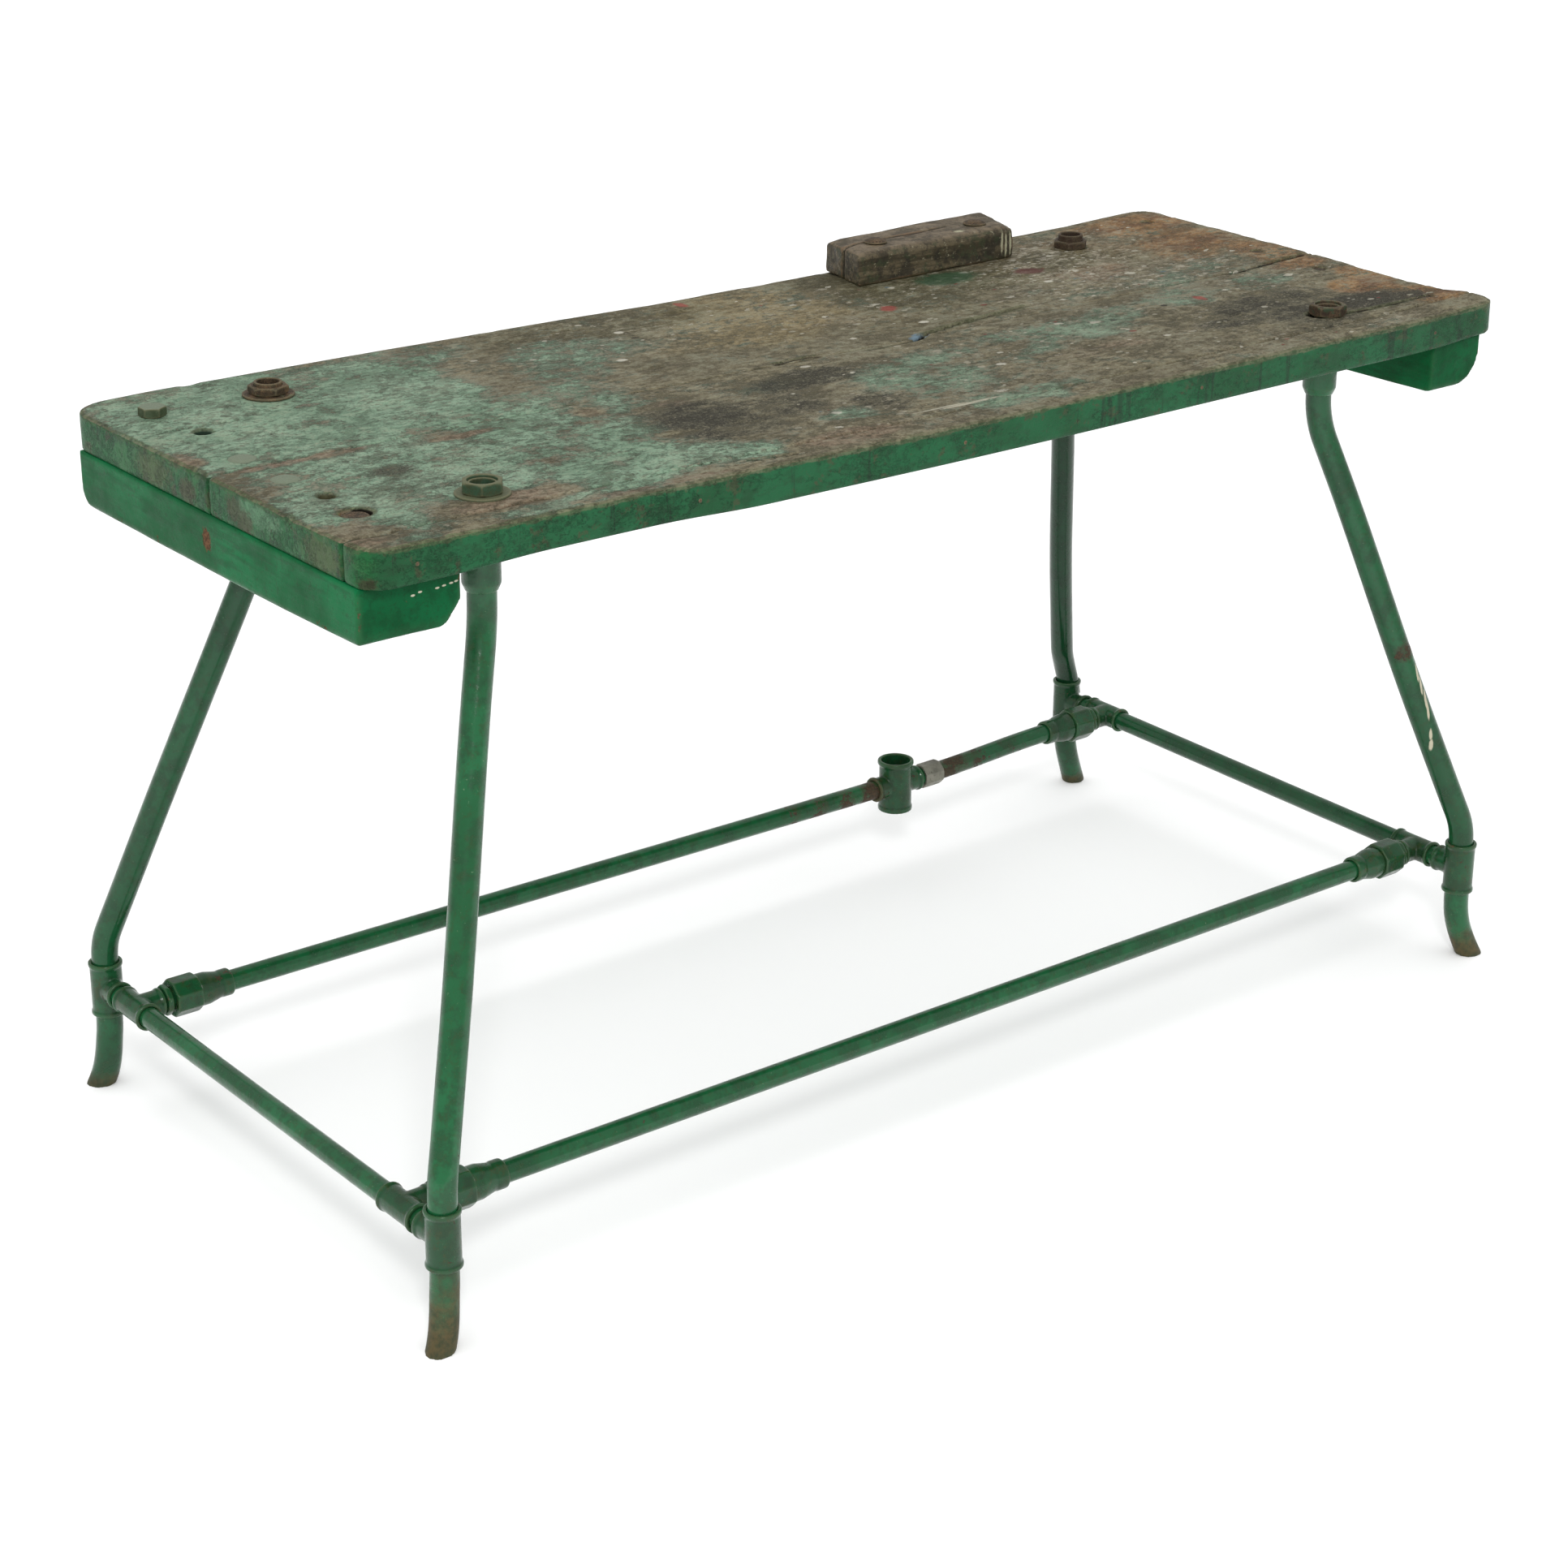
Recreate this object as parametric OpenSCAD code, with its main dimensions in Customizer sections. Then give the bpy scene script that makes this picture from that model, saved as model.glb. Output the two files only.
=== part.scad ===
// Workbench with a three-plank wooden top on a splayed frame of screwed gas pipe.
// Millimetres. X runs along the bench, -Y is the working side, the floor is Z = 0.
// The origin is on the floor, under the centre of the whole bench.

/* [Bench top] */
// Height of the working surface above the floor
top_height = 905; // [800:5:1000]
// Thickness of the planks
plank_t = 44; // [36:1:60]
// Depth of the top, front edge to back edge
top_width = 670; // [620:5:760]
// Width of the back plank
back_plank_w = 340; // [320:5:360]
// Width of the narrow front plank
front_plank_w = 50; // [44:1:60]
// How far the top runs past the left leg axes
left_overhang = 205; // [190:5:230]
// How far the top runs past the right leg axes
right_overhang = 234; // [220:2:260]
// Radius of the worn front left corner, seen from above
left_corner_r = 35; // [20:1:45]
// Radius of the worn back left corner, seen from above
back_corner_r = 52; // [20:1:60]
// Radius of the corners at the right end, seen from above
right_corner_r = 30; // [8:1:40]

/* [Cleats] */
// Drop of the left cleat under the planks
left_cleat_h = 65; // [50:1:75]
// Drop of the right cleat under the planks
right_cleat_h = 61; // [50:1:75]
// Width of the left cleat
left_cleat_w = 127; // [115:1:135]
// Width of the right cleat
right_cleat_w = 90; // [80:1:110]
// How far the right cleat sits in from the right end
right_cleat_inset = 22; // [10:1:40]
// How far the cleats sit back from the front edge
cleat_front_inset = 23; // [15:1:35]

/* [Backstop] */
// Length of the block bolted to the back edge
block_length = 274; // [220:2:300]
// Depth of the block
block_depth = 97; // [80:1:110]
// Height of the block
block_height = 46; // [35:1:60]
// How far the block's back stands to the right of its front, as both its ends are sawn askew
block_skew = 20; // [0:1:40]
// Distance of the block from the centre of the legs
block_offset = 408; // [300:1:430]
// Distance between the two block bolts
block_bolt_span = 176; // [140:2:200]

/* [Legs] */
// Distance between the left and right leg axes at the top
leg_span_x = 1284; // [1200:4:1400]
// Distance between the front and back leg axes at the top
leg_span_y = 470; // [430:4:500]
// Distance between the left and right leg axes at the rails
base_span_x = 1648; // [1560:2:1750]
// Distance between the front and back leg axes at the rails
base_span_y = 786; // [740:4:840]
// Outside diameter of the leg pipe, 1 inch gas pipe
leg_od = 33.7; // [30:0.1:35]
// Wall of the leg pipe
leg_wall = 3.2; // [2.6:0.1:4]
// Height of the upper bend
upper_bend_z = 765; // [700:1:775]
// Height of the lower bend
lower_bend_z = 196; // [194:1:230]
// Radius of the upper bend, on the pipe's axis
upper_bend_r = 160; // [110:5:165]
// Radius of the lower bend, on the pipe's axis
lower_bend_r = 105; // [90:5:110]
// How far a foot kicks outwards along the bench
foot_kick_x = 20; // [8:1:28]
// How far a foot kicks outwards across the bench
foot_kick_y = 9; // [4:1:14]

/* [Rails] */
// Height of the rail axes above the floor
rail_z = 135; // [130:1:160]
// Outside diameter of the rail pipe, 3/4 inch gas pipe
rail_od = 26.9; // [25:0.1:27.2]
// Wall of the rail pipe
rail_wall = 2.6; // [2.2:0.1:3.2]
// Distance of a long rail's axis from the leg axes beside it
rail_inset = 80; // [78:1:100]
// Distance of the socket cross from the centre of the legs
cross_offset = 404; // [200:1:500]

/* [Hidden] */
$fn = 64;

// Colours
paint = "#2b6b49";
worn_paint = "#6f8f78";
dark_wood = "#57503f";
rust = "#5b3a26";
zinc = "#8d8c7c";

// The legs stand a little left of the bench's centre, because the right overhang is longer
foot_reach = base_span_x / 2 + foot_kick_x + leg_od / 2;
legs_x = (foot_reach - leg_span_x / 2 - right_overhang) / 2;
top_left = legs_x - leg_span_x / 2 - left_overhang;
top_right = legs_x + leg_span_x / 2 + right_overhang;
front_y = -top_width / 2;
back_y = top_width / 2;
back_joint_y = back_y - back_plank_w;
front_joint_y = front_y + front_plank_w;
joint_gap = 0.4;
under_z = top_height - plank_t;
left_cleat_z = under_z - left_cleat_h;
right_cleat_z = under_z - right_cleat_h;

// Corners of the bench: [side along X, side along Y]
FL = [-1, -1];
BL = [-1, 1];
FR = [1, -1];
BR = [1, 1];
CORNERS = [FL, BL, FR, BR];

// Screwed joints: a thread is drawn as a plain cylinder with this radial gap
thread_gap = 0.05;
leg_r = leg_od / 2;
leg_bore_r = leg_r - leg_wall;
rail_r = rail_od / 2;
rail_bore_r = rail_r - rail_wall;
leg_hole_r = leg_r + 0.6;

// A leg's straight runs are a hair thinner than its bends and lap a little way into them
bend_step = 0.03;
bend_lap = 1;

// Holding hardware on top of the legs
washer_r = 31;
washer_t = 3;
backnut_af = 43;
backnut_h = [14, 10, 14, 11];
backnut_turns = [26, 8, 8, 12];
nipple_rise = [-3, 4, -3, 8];
socket_h = 62;
socket_r = 22;
socket_depth = 24;

// Leg tee, 1 x 3/4 inch
tee_half = 36;
tee_r = 20;
tee_bead_r = 21.6;
tee_bead_h = 6;
tee_outlet = 38;
tee_outlet_r = 16.4;
tee_depth = 17;

foot_straight = 6;

// Rail tee, 3/4 inch
rail_tee_half = 33;
rail_tee_r = 16.4;
rail_bead_r = 18.2;
rail_bead_h = 5;
rail_depth = 13;

// Union, measured inwards from the rail tee's centre
union_start = 35;
tail_hex_end = 43;
nut_start = 46;
lip_end = 51;
flange_end = 57;
nut_end = 82;
union_collar = 114;
union_end = 130;
tail_af = 38;
tail_r = 14.5;
flange_r = 18.6;
spigot_r = 19;
union_nut_af = 47;
union_body_r = 21;
union_collar_r = 17;
union_bead_r = 17.8;
nut_play = 0.1;
pipe_in_union = 18;

// Socket cross on the back rail, 1 1/4 x 3/4 inch
cross_x = legs_x + cross_offset;
cross_half = 38.5;
cross_r = 23.8;
cross_bead_r = 26.3;
cross_bead_h = 7;
cross_arm = 41;
cross_arm_r = 16.4;
cross_socket_r = 21;
cross_socket_depth = 19;
cross_bore_r = 18.5;
coupling_start = 46;
coupling_end = 80;
coupling_af = 34;

// Fastening of the cleats
left_row_x = top_left + 64;
right_row_x = top_right - 54;
hex_bolt_y = 238;
sunk_bolt_y = -209;
left_coach_y = [31, -62];
left_row_y = concat([hex_bolt_y, sunk_bolt_y], left_coach_y);
right_row_y = [273, 54, -64, -257];
spare_holes = [[left_row_x + 15, 147], [left_row_x + 6, -139]];
spare_hole_r = 10;
left_bolt_r = 8;
small_bolt_r = 6;
bolt_play = 0.5;
bolt_tail = 18;
hex_head_af = 29;
hex_head_h = 11.5;
sink_r = 17.5;
sink_depth = 13;
head_t = 5.5;
left_head_r = 17.5;
left_head_seat = 4;
right_head_r = 11.5;
right_head_seat = 7.5;
left_nut_af = 27;
left_nut_h = 12;
left_washer_r = 19;
small_nut_af = 20;
small_nut_h = 10;
small_washer_r = 14;
small_washer_t = 2.5;
left_cleat_back_inset = 30;
right_cleat_back_inset = 4;
right_cleat_front_inset = 10;

// Backstop
block_x = legs_x + block_offset;
block_bolt_x = [block_x - block_bolt_span / 2, block_x + block_bolt_span / 2];
block_front_y = back_y - block_depth;
block_bolt_y = block_front_y + 38;
block_top = top_height + block_height;
block_head_r = 16;
block_edge_r = 10;

// Nails that hold the front plank to the middle one, measured along the bench from the left end
nail_x = [60, 420, 800, 1180, 1600];
nail_length = 90;
nail_r = 2.5;
nail_gap = 0.1;

// A rectangle with its own radius at each corner: front left, front right, back right, back left
module plan(x0, x1, y0, y1, r) {
    corners = [[x0, y0, 1, 1], [x1, y0, -1, 1], [x1, y1, -1, -1], [x0, y1, 1, -1]];
    difference() {
        translate([x0, y0]) square([x1 - x0, y1 - y0]);
        for (i = [0:3]) if (r[i] > 0) translate([corners[i][0], corners[i][1]])
            mirror([corners[i][2] < 0 ? 1 : 0, 0]) mirror([0, corners[i][3] < 0 ? 1 : 0])
                difference() {
                    translate([-1, -1]) square(r[i] + 1);
                    translate([r[i], r[i]]) circle(r[i]);
                }
    }
}

// A drilled hole downwards from a height
module drill(x, y, top, r, depth) {
    translate([x, y, top - depth]) cylinder(h = depth + 1, r = r);
}

// A length of pipe along +Z
module pipe(length, r, bore) {
    difference() {
        cylinder(h = length, r = r);
        translate([0, 0, -1]) cylinder(h = length + 2, r = bore);
    }
}

// A bent round bar in the XZ plane about the origin, from the +X side towards +Z
module bend(angle, radius, r) {
    rotate([90, 0, 0]) rotate_extrude(angle = angle) translate([radius, 0]) circle(r);
}

// A hexagonal or octagonal blank with its outer corners turned off at both ends
module nut_blank(af, h, sides) {
    corner_r = af / 2 / cos(180 / sides);
    bevel = corner_r - af / 2 + 0.4;
    intersection() {
        rotate([0, 0, 180 / sides]) cylinder(h = h, r = corner_r, $fn = sides);
        rotate_extrude() polygon([
            [0, 0], [corner_r - bevel, 0], [corner_r + 0.5, bevel * 0.6],
            [corner_r + 0.5, h - bevel * 0.6], [corner_r - bevel, h], [0, h]
        ]);
    }
}

// A screwed socket mouth: a round body of the given length along +Z with a bead at its end
module boss(length, r, bead_r, bead_h) {
    soften = (bead_r - r) / 2;
    rotate_extrude() polygon([
        [0, 0], [r, 0], [r, length - bead_h - soften], [bead_r, length - bead_h + soften],
        [bead_r, length - soften], [bead_r - soften, length], [0, length]
    ]);
}

// A screwed mouth's bore, entered from its end towards -Z
module mouth(end, r, depth, waterway) {
    translate([0, 0, end - depth]) cylinder(h = depth + 1, r = r);
    translate([0, 0, 0]) cylinder(h = end, r = waterway);
}

// Places its children at a corner: what is drawn for the back right is mirrored to the others
module at_corner(c) {
    translate([legs_x, 0, 0]) mirror([c[0] < 0 ? 1 : 0, 0, 0]) mirror([0, c[1] < 0 ? 1 : 0, 0])
        children();
}

// Turns +Z to lie along a long rail, from the rail tee towards the middle of the bench
module along_rail() {
    translate([base_span_x / 2, base_span_y / 2 - rail_inset, rail_z]) rotate([0, -90, 0])
        children();
}

// --- Bench top ---

// The holes that legs, cleat bolts and backstop bolts need, cut from whatever plank they meet
module top_holes() {
    for (c = CORNERS) at_corner(c)
        drill(leg_span_x / 2, leg_span_y / 2, top_height, leg_hole_r, plank_t + 1);
    for (y = left_row_y) drill(left_row_x, y, top_height, left_bolt_r + bolt_play, plank_t + 1);
    for (y = right_row_y) drill(right_row_x, y, top_height, small_bolt_r + bolt_play, plank_t + 1);
    drill(left_row_x, sunk_bolt_y, top_height, sink_r, sink_depth);
    for (y = left_coach_y) drill(left_row_x, y, top_height, left_head_r + 0.3, left_head_seat);
    for (y = right_row_y) drill(right_row_x, y, top_height, right_head_r + 0.3, right_head_seat);
    for (hole = spare_holes) drill(hole[0], hole[1], top_height, spare_hole_r, plank_t + 1);
    for (x = block_bolt_x) drill(x, block_bolt_y, top_height, small_bolt_r + bolt_play, plank_t + 1);
    for (x = nail_x) nail_at(x) cylinder(h = nail_length + nail_gap, r = nail_r + nail_gap);
}

module nail_at(x) {
    translate([top_left + x, front_y - 0.01, under_z + plank_t / 2]) rotate([-90, 0, 0])
        children();
}

module plank(y0, y1, radii) {
    difference() {
        translate([0, 0, under_z]) linear_extrude(plank_t)
            plan(top_left, top_right, y0, y1, radii);
        top_holes();
    }
}

module back_plank() color(worn_paint)
    plank(back_joint_y + joint_gap / 2, back_y, [0, 0, right_corner_r, back_corner_r]);

module middle_plank() color(worn_paint)
    plank(front_joint_y + joint_gap / 2, back_joint_y - joint_gap / 2, [0, 0, 0, 0]);

module front_plank() color(paint)
    plank(front_y, front_joint_y - joint_gap / 2, [left_corner_r, right_corner_r, 0, 0]);

module front_plank_nails() color(rust)
    for (x = nail_x) nail_at(x) cylinder(h = nail_length, r = nail_r);

// --- Cleats ---

// A batten under the planks: its section is an outline of [x, drop] points, its ends are rounded
module cleat(x0, y0, y1, width, drop, outline, front_r, back_r) {
    intersection() {
        translate([x0, y1, under_z]) rotate([90, 0, 0]) linear_extrude(y1 - y0)
            polygon(outline);
        translate([x0 - 1, 0, under_z - drop]) rotate([90, 0, 90]) linear_extrude(width + 2)
            plan(y0, y1, 0, drop, [front_r, back_r, 0, 0]);
    }
}

module left_cleat() color(paint) {
    w = left_cleat_w;
    h = left_cleat_h;
    difference() {
        cleat(top_left, front_y + cleat_front_inset, back_y - left_cleat_back_inset, w, h,
            [[0, 0], [w, 0], [w, -h + 30], [w - 24, -h], [5, -h], [0, -h + 5]], 12, 26);
        for (y = left_row_y) drill(left_row_x, y, under_z, left_bolt_r + bolt_play, h + 1);
        for (hole = spare_holes) drill(hole[0], hole[1], under_z, spare_hole_r, h + 1);
    }
}

module right_cleat() color(paint) {
    w = right_cleat_w;
    h = right_cleat_h;
    r = 45;
    x0 = top_right - right_cleat_inset - w;
    round_edge = [for (a = [0:7.5:90]) [w - r + r * cos(a), -h + r - r * sin(a)]];
    difference() {
        cleat(x0, front_y + right_cleat_front_inset, back_y - right_cleat_back_inset, w, h,
            concat([[0, 0], [w, 0]], round_edge, [[0, -h]]), 8, 8);
        for (y = right_row_y) drill(right_row_x, y, under_z, small_bolt_r + bolt_play, h + 1);
    }
}

// --- Cleat bolts ---

// A bolt's shank, from its head down through a cleat to a little below it
module bolt_shank(x, y, top, cleat_z, r) {
    translate([x, y, cleat_z - bolt_tail]) cylinder(h = top - cleat_z + bolt_tail, r = r);
}

module left_hex_bolt() color(paint) {
    translate([left_row_x, hex_bolt_y, top_height]) nut_blank(hex_head_af, hex_head_h, 6);
    bolt_shank(left_row_x, hex_bolt_y, top_height + 1, left_cleat_z, left_bolt_r);
}

module left_sunk_bolt() color(rust) {
    translate([left_row_x, sunk_bolt_y, top_height - sink_depth])
        nut_blank(left_nut_af, sink_depth - 3, 6);
    bolt_shank(left_row_x, sunk_bolt_y, top_height - sink_depth + 1, left_cleat_z, left_bolt_r);
}

// A bolt with a low domed head let into the plank
module coach_bolt(x, y, head_r, seat, cleat_z, r) {
    translate([x, y, top_height - seat]) rotate_extrude() polygon([
        [0, 0], [head_r, 0], [head_r, head_t * 0.5], [head_r * 0.75, head_t * 0.85],
        [head_r * 0.4, head_t], [0, head_t]
    ]);
    bolt_shank(x, y, top_height - seat + 1, cleat_z, r);
}

module left_coach_bolts() color(paint)
    for (y = left_coach_y)
        coach_bolt(left_row_x, y, left_head_r, left_head_seat, left_cleat_z, left_bolt_r);

module right_coach_bolts() color(rust)
    for (y = right_row_y)
        coach_bolt(right_row_x, y, right_head_r, right_head_seat, right_cleat_z, small_bolt_r);

// Places its children under a cleat at each of its bolts
module under_row(x, row_y, cleat_z) {
    for (y = row_y) translate([x, y, cleat_z]) mirror([0, 0, 1]) children();
}

module drilled_nut(af, h, bore) {
    difference() {
        nut_blank(af, h, 6);
        translate([0, 0, -1]) cylinder(h = h + 2, r = bore + thread_gap);
    }
}

module cleat_washers() color(rust) {
    under_row(left_row_x, left_row_y, left_cleat_z)
        pipe(small_washer_t, left_washer_r, left_bolt_r + bolt_play);
    under_row(right_row_x, right_row_y, right_cleat_z)
        pipe(small_washer_t, small_washer_r, small_bolt_r + bolt_play);
}

module cleat_nuts() color(rust) translate([0, 0, -small_washer_t]) {
    under_row(left_row_x, left_row_y, left_cleat_z)
        drilled_nut(left_nut_af, left_nut_h, left_bolt_r);
    under_row(right_row_x, right_row_y, right_cleat_z)
        drilled_nut(small_nut_af, small_nut_h, small_bolt_r);
}

// --- Backstop ---

module backstop_block() color(dark_wood) difference() {
    intersection() {
        translate([block_x - block_length, 0, top_height]) rotate([90, 0, 90])
            linear_extrude(2 * block_length)
                plan(block_front_y, back_y, 0, block_height, [0, 0, block_edge_r, block_edge_r]);
        translate([block_x, back_y - block_depth / 2, top_height - 1])
            linear_extrude(block_height + 2)
                polygon([[-block_length / 2 - block_skew, -block_depth],
                         [block_length / 2 - block_skew, -block_depth],
                         [block_length / 2 + block_skew, block_depth],
                         [-block_length / 2 + block_skew, block_depth]]);
    }
    for (x = block_bolt_x)
        drill(x, block_bolt_y, block_top, small_bolt_r + bolt_play, block_height + 1);
}

module backstop_bolts() color(rust) for (x = block_bolt_x) {
    translate([x, block_bolt_y, block_top]) rotate_extrude() polygon([
        [0, 0], [block_head_r, 0], [block_head_r, 1.5], [block_head_r * 0.6, 4.5], [0, 5.5]
    ]);
    translate([x, block_bolt_y, under_z - bolt_tail])
        cylinder(h = block_top - under_z + bolt_tail + 1, r = small_bolt_r);
}

module backstop_washers() color(rust) for (x = block_bolt_x)
    translate([x, block_bolt_y, under_z]) mirror([0, 0, 1])
        pipe(small_washer_t, small_washer_r, small_bolt_r + bolt_play);

module backstop_nuts() color(rust) for (x = block_bolt_x)
    translate([x, block_bolt_y, under_z - small_washer_t]) mirror([0, 0, 1])
        drilled_nut(small_nut_af, small_nut_h, small_bolt_r);

// --- Legs ---

// The round bar that fills a leg's pipe, in an upright plane: +X points outwards, Z = 0 is the floor
module leg_bar(r, extra) {
    run = norm([base_span_x - leg_span_x, base_span_y - leg_span_y]) / 2;
    slope = atan(run / (upper_bend_z - lower_bend_z));
    upper_tangent = upper_bend_r * tan(slope / 2);
    lower_tangent = lower_bend_r * tan(slope / 2);
    slant = norm([run, upper_bend_z - lower_bend_z]) - upper_tangent - lower_tangent;
    upper_end = upper_bend_z + upper_tangent;
    lower_end = lower_bend_z - lower_tangent;
    leg_top = under_z - socket_h + socket_depth + extra;
    leg_foot = rail_z + tee_half - tee_depth - extra;
    straight_r = r - bend_step;
    translate([0, 0, upper_end - bend_lap])
        cylinder(h = leg_top - upper_end + bend_lap, r = straight_r);
    translate([upper_bend_r, 0, upper_end]) rotate([0, 180, 0]) bend(slope, upper_bend_r, r);
    translate([run - lower_tangent * sin(slope), 0, lower_bend_z + lower_tangent * cos(slope)])
        rotate([0, -slope, 0]) translate([0, 0, -bend_lap])
            cylinder(h = slant + 2 * bend_lap, r = straight_r);
    translate([run - lower_bend_r, 0, lower_end]) bend(slope, lower_bend_r, r);
    translate([run, 0, leg_foot]) cylinder(h = lower_end - leg_foot + bend_lap, r = straight_r);
}

module leg(c) color(paint) at_corner(c) translate([leg_span_x / 2, leg_span_y / 2, 0])
    rotate([0, 0, atan2(base_span_y - leg_span_y, base_span_x - leg_span_x)]) difference() {
        leg_bar(leg_r, 0);
        leg_bar(leg_bore_r, 1);
    }

// A round socket that joins the leg to the nipple through the top, with its lower end tapered
module leg_socket(c) color(paint) at_corner(c)
    translate([leg_span_x / 2, leg_span_y / 2, under_z - socket_h]) difference() {
        rotate_extrude() polygon([
            [0, 0], [leg_r + 1.2, 0], [socket_r, 9], [socket_r, socket_h], [0, socket_h]
        ]);
        translate([0, 0, -1]) cylinder(h = socket_h + 2, r = leg_r + thread_gap);
    }

// How high each leg's backnut sits: only the two left ones have a washer under them
backnut_seat = [washer_t, washer_t, 0, 0];

// Threaded pipe ends that come up through the top, one at each leg
module leg_top_nipples() color(rust) for (i = [0:3]) at_corner(CORNERS[i])
    translate([leg_span_x / 2, leg_span_y / 2, under_z - socket_depth])
        pipe(socket_depth + plank_t + backnut_seat[i] + backnut_h[i] + nipple_rise[i],
            leg_r, leg_bore_r);

module leg_washers() color(rust) for (c = [FL, BL]) at_corner(c)
    translate([leg_span_x / 2, leg_span_y / 2, top_height]) pipe(washer_t, washer_r, leg_hole_r);

module leg_backnuts() color(rust) for (i = [0:3]) at_corner(CORNERS[i])
    translate([leg_span_x / 2, leg_span_y / 2, top_height + backnut_seat[i]])
        rotate([0, 0, backnut_turns[i]]) drilled_nut(backnut_af, backnut_h[i], leg_r);

// --- Feet and low frame ---

// A tee on a leg's lower end: its run stands up, its branch points inwards across the bench
module leg_tee(c) color(paint) at_corner(c)
    translate([base_span_x / 2, base_span_y / 2, rail_z]) difference() {
        union() {
            for (side = [0, 1]) mirror([0, 0, side])
                boss(tee_half, tee_r, tee_bead_r, tee_bead_h);
            rotate([90, 0, 0]) boss(tee_outlet, tee_outlet_r, tee_outlet_r + 2, tee_bead_h);
        }
        for (side = [0, 1]) mirror([0, 0, side])
            mouth(tee_half, leg_r + thread_gap, tee_depth, leg_bore_r);
        rotate([90, 0, 0]) mouth(tee_outlet, rail_r + thread_gap, rail_depth, rail_bore_r);
    }

// The round bar that fills a foot's pipe, in the upright plane it curves outwards in
module foot_bar(r, extra) {
    kick = norm([foot_kick_x, foot_kick_y]);
    drop = rail_z - tee_half - foot_straight;
    radius = (drop * drop + kick * kick) / (2 * kick);
    translate([0, 0, drop]) cylinder(h = foot_straight + tee_depth + extra, r = r);
    translate([radius, 0, drop]) rotate([0, 180, 0]) bend(asin(drop / radius) + 6, radius, r);
}

// A foot: a short pipe that curves outwards to the floor, where it is cut level
module foot(c) color(paint) at_corner(c) translate([base_span_x / 2, base_span_y / 2, 0])
    rotate([0, 0, atan2(foot_kick_y, foot_kick_x)]) difference() {
        foot_bar(leg_r, 0);
        foot_bar(leg_bore_r, 1);
        translate([-100, -100, -100]) cube([200, 200, 100]);
    }

// Short threaded pipes between each leg tee and the rail tee beside it
module close_nipples() color(paint) for (c = CORNERS) at_corner(c)
    translate([base_span_x / 2, base_span_y / 2 - tee_outlet + rail_depth, rail_z])
        rotate([90, 0, 0])
            pipe(rail_inset - tee_outlet - rail_tee_half + 2 * rail_depth, rail_r, rail_bore_r);

// A tee on the cross rail: its branch points inwards along the bench
module rail_tee(c) color(paint) at_corner(c)
    translate([base_span_x / 2, base_span_y / 2 - rail_inset, rail_z]) difference() {
        union() {
            for (turn = [90, -90]) rotate([turn, 0, 0])
                boss(rail_tee_half, rail_tee_r, rail_bead_r, rail_bead_h);
            rotate([0, -90, 0]) boss(rail_tee_half, rail_tee_r, rail_bead_r, rail_bead_h);
        }
        for (turn = [90, -90]) rotate([turn, 0, 0])
            mouth(rail_tee_half, rail_r + thread_gap, rail_depth, rail_bore_r);
        rotate([0, -90, 0]) mouth(rail_tee_half, rail_r + thread_gap, rail_depth, rail_bore_r);
    }

module cross_rail(side) color(paint) {
    half = base_span_y / 2 - rail_inset - rail_tee_half + rail_depth;
    translate([legs_x + side * base_span_x / 2, half, rail_z]) rotate([90, 0, 0])
        pipe(2 * half, rail_r, rail_bore_r);
}

// --- Unions ---

// The male end of a union: thread, hexagon, neck and the flange that its nut pulls on
module union_tail(c) color(paint) at_corner(c) along_rail() difference() {
    union() {
        translate([0, 0, rail_tee_half - rail_depth])
            cylinder(h = union_start - rail_tee_half + rail_depth, r = rail_r);
        translate([0, 0, union_start]) nut_blank(tail_af, tail_hex_end - union_start, 8);
        translate([0, 0, tail_hex_end]) cylinder(h = lip_end + nut_play - tail_hex_end, r = tail_r);
        translate([0, 0, lip_end + nut_play])
            cylinder(h = flange_end - lip_end - nut_play, r = flange_r);
    }
    cylinder(h = nut_end, r = rail_bore_r);
}

// The captive nut, which turns on the tail's neck and over the body's thread
module union_nut(c) color(paint) at_corner(c) along_rail() difference() {
    translate([0, 0, nut_start]) nut_blank(union_nut_af, nut_end - nut_start, 8);
    translate([0, 0, nut_start - 1]) cylinder(h = nut_end, r = tail_r + nut_play);
    translate([0, 0, lip_end]) cylinder(h = nut_end, r = spigot_r + nut_play);
}

// The female end: a threaded spigot under the nut, a bell and a socket for the rail
module union_body(c) color(paint) at_corner(c) along_rail() difference() {
    rotate_extrude() polygon([
        [0, flange_end], [spigot_r, flange_end], [spigot_r, nut_end + nut_play],
        [union_body_r, nut_end + nut_play], [union_body_r, nut_end + 14],
        [union_collar_r, union_collar], [union_bead_r, union_collar + 2],
        [union_bead_r, union_end - 1.5], [union_bead_r - 1.5, union_end], [0, union_end]
    ]);
    translate([0, 0, union_end - pipe_in_union]) cylinder(h = pipe_in_union + 1, r = rail_r + thread_gap);
    cylinder(h = union_end, r = rail_bore_r);
}

// --- Long rails ---

rail_y = base_span_y / 2 - rail_inset;
rail_end_x = base_span_x / 2 - union_end + pipe_in_union;

module rail_length(x0, x1, y) {
    translate([x0, y, rail_z]) rotate([0, 90, 0]) pipe(x1 - x0, rail_r, rail_bore_r);
}

module front_rail() color(paint) rail_length(legs_x - rail_end_x, legs_x + rail_end_x, -rail_y);

module back_rail_left() color(paint)
    rail_length(legs_x - rail_end_x, cross_x - cross_arm + rail_depth, rail_y);

module back_rail_right() color(paint)
    rail_length(cross_x + coupling_end - rail_depth, legs_x + rail_end_x, rail_y);

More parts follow.
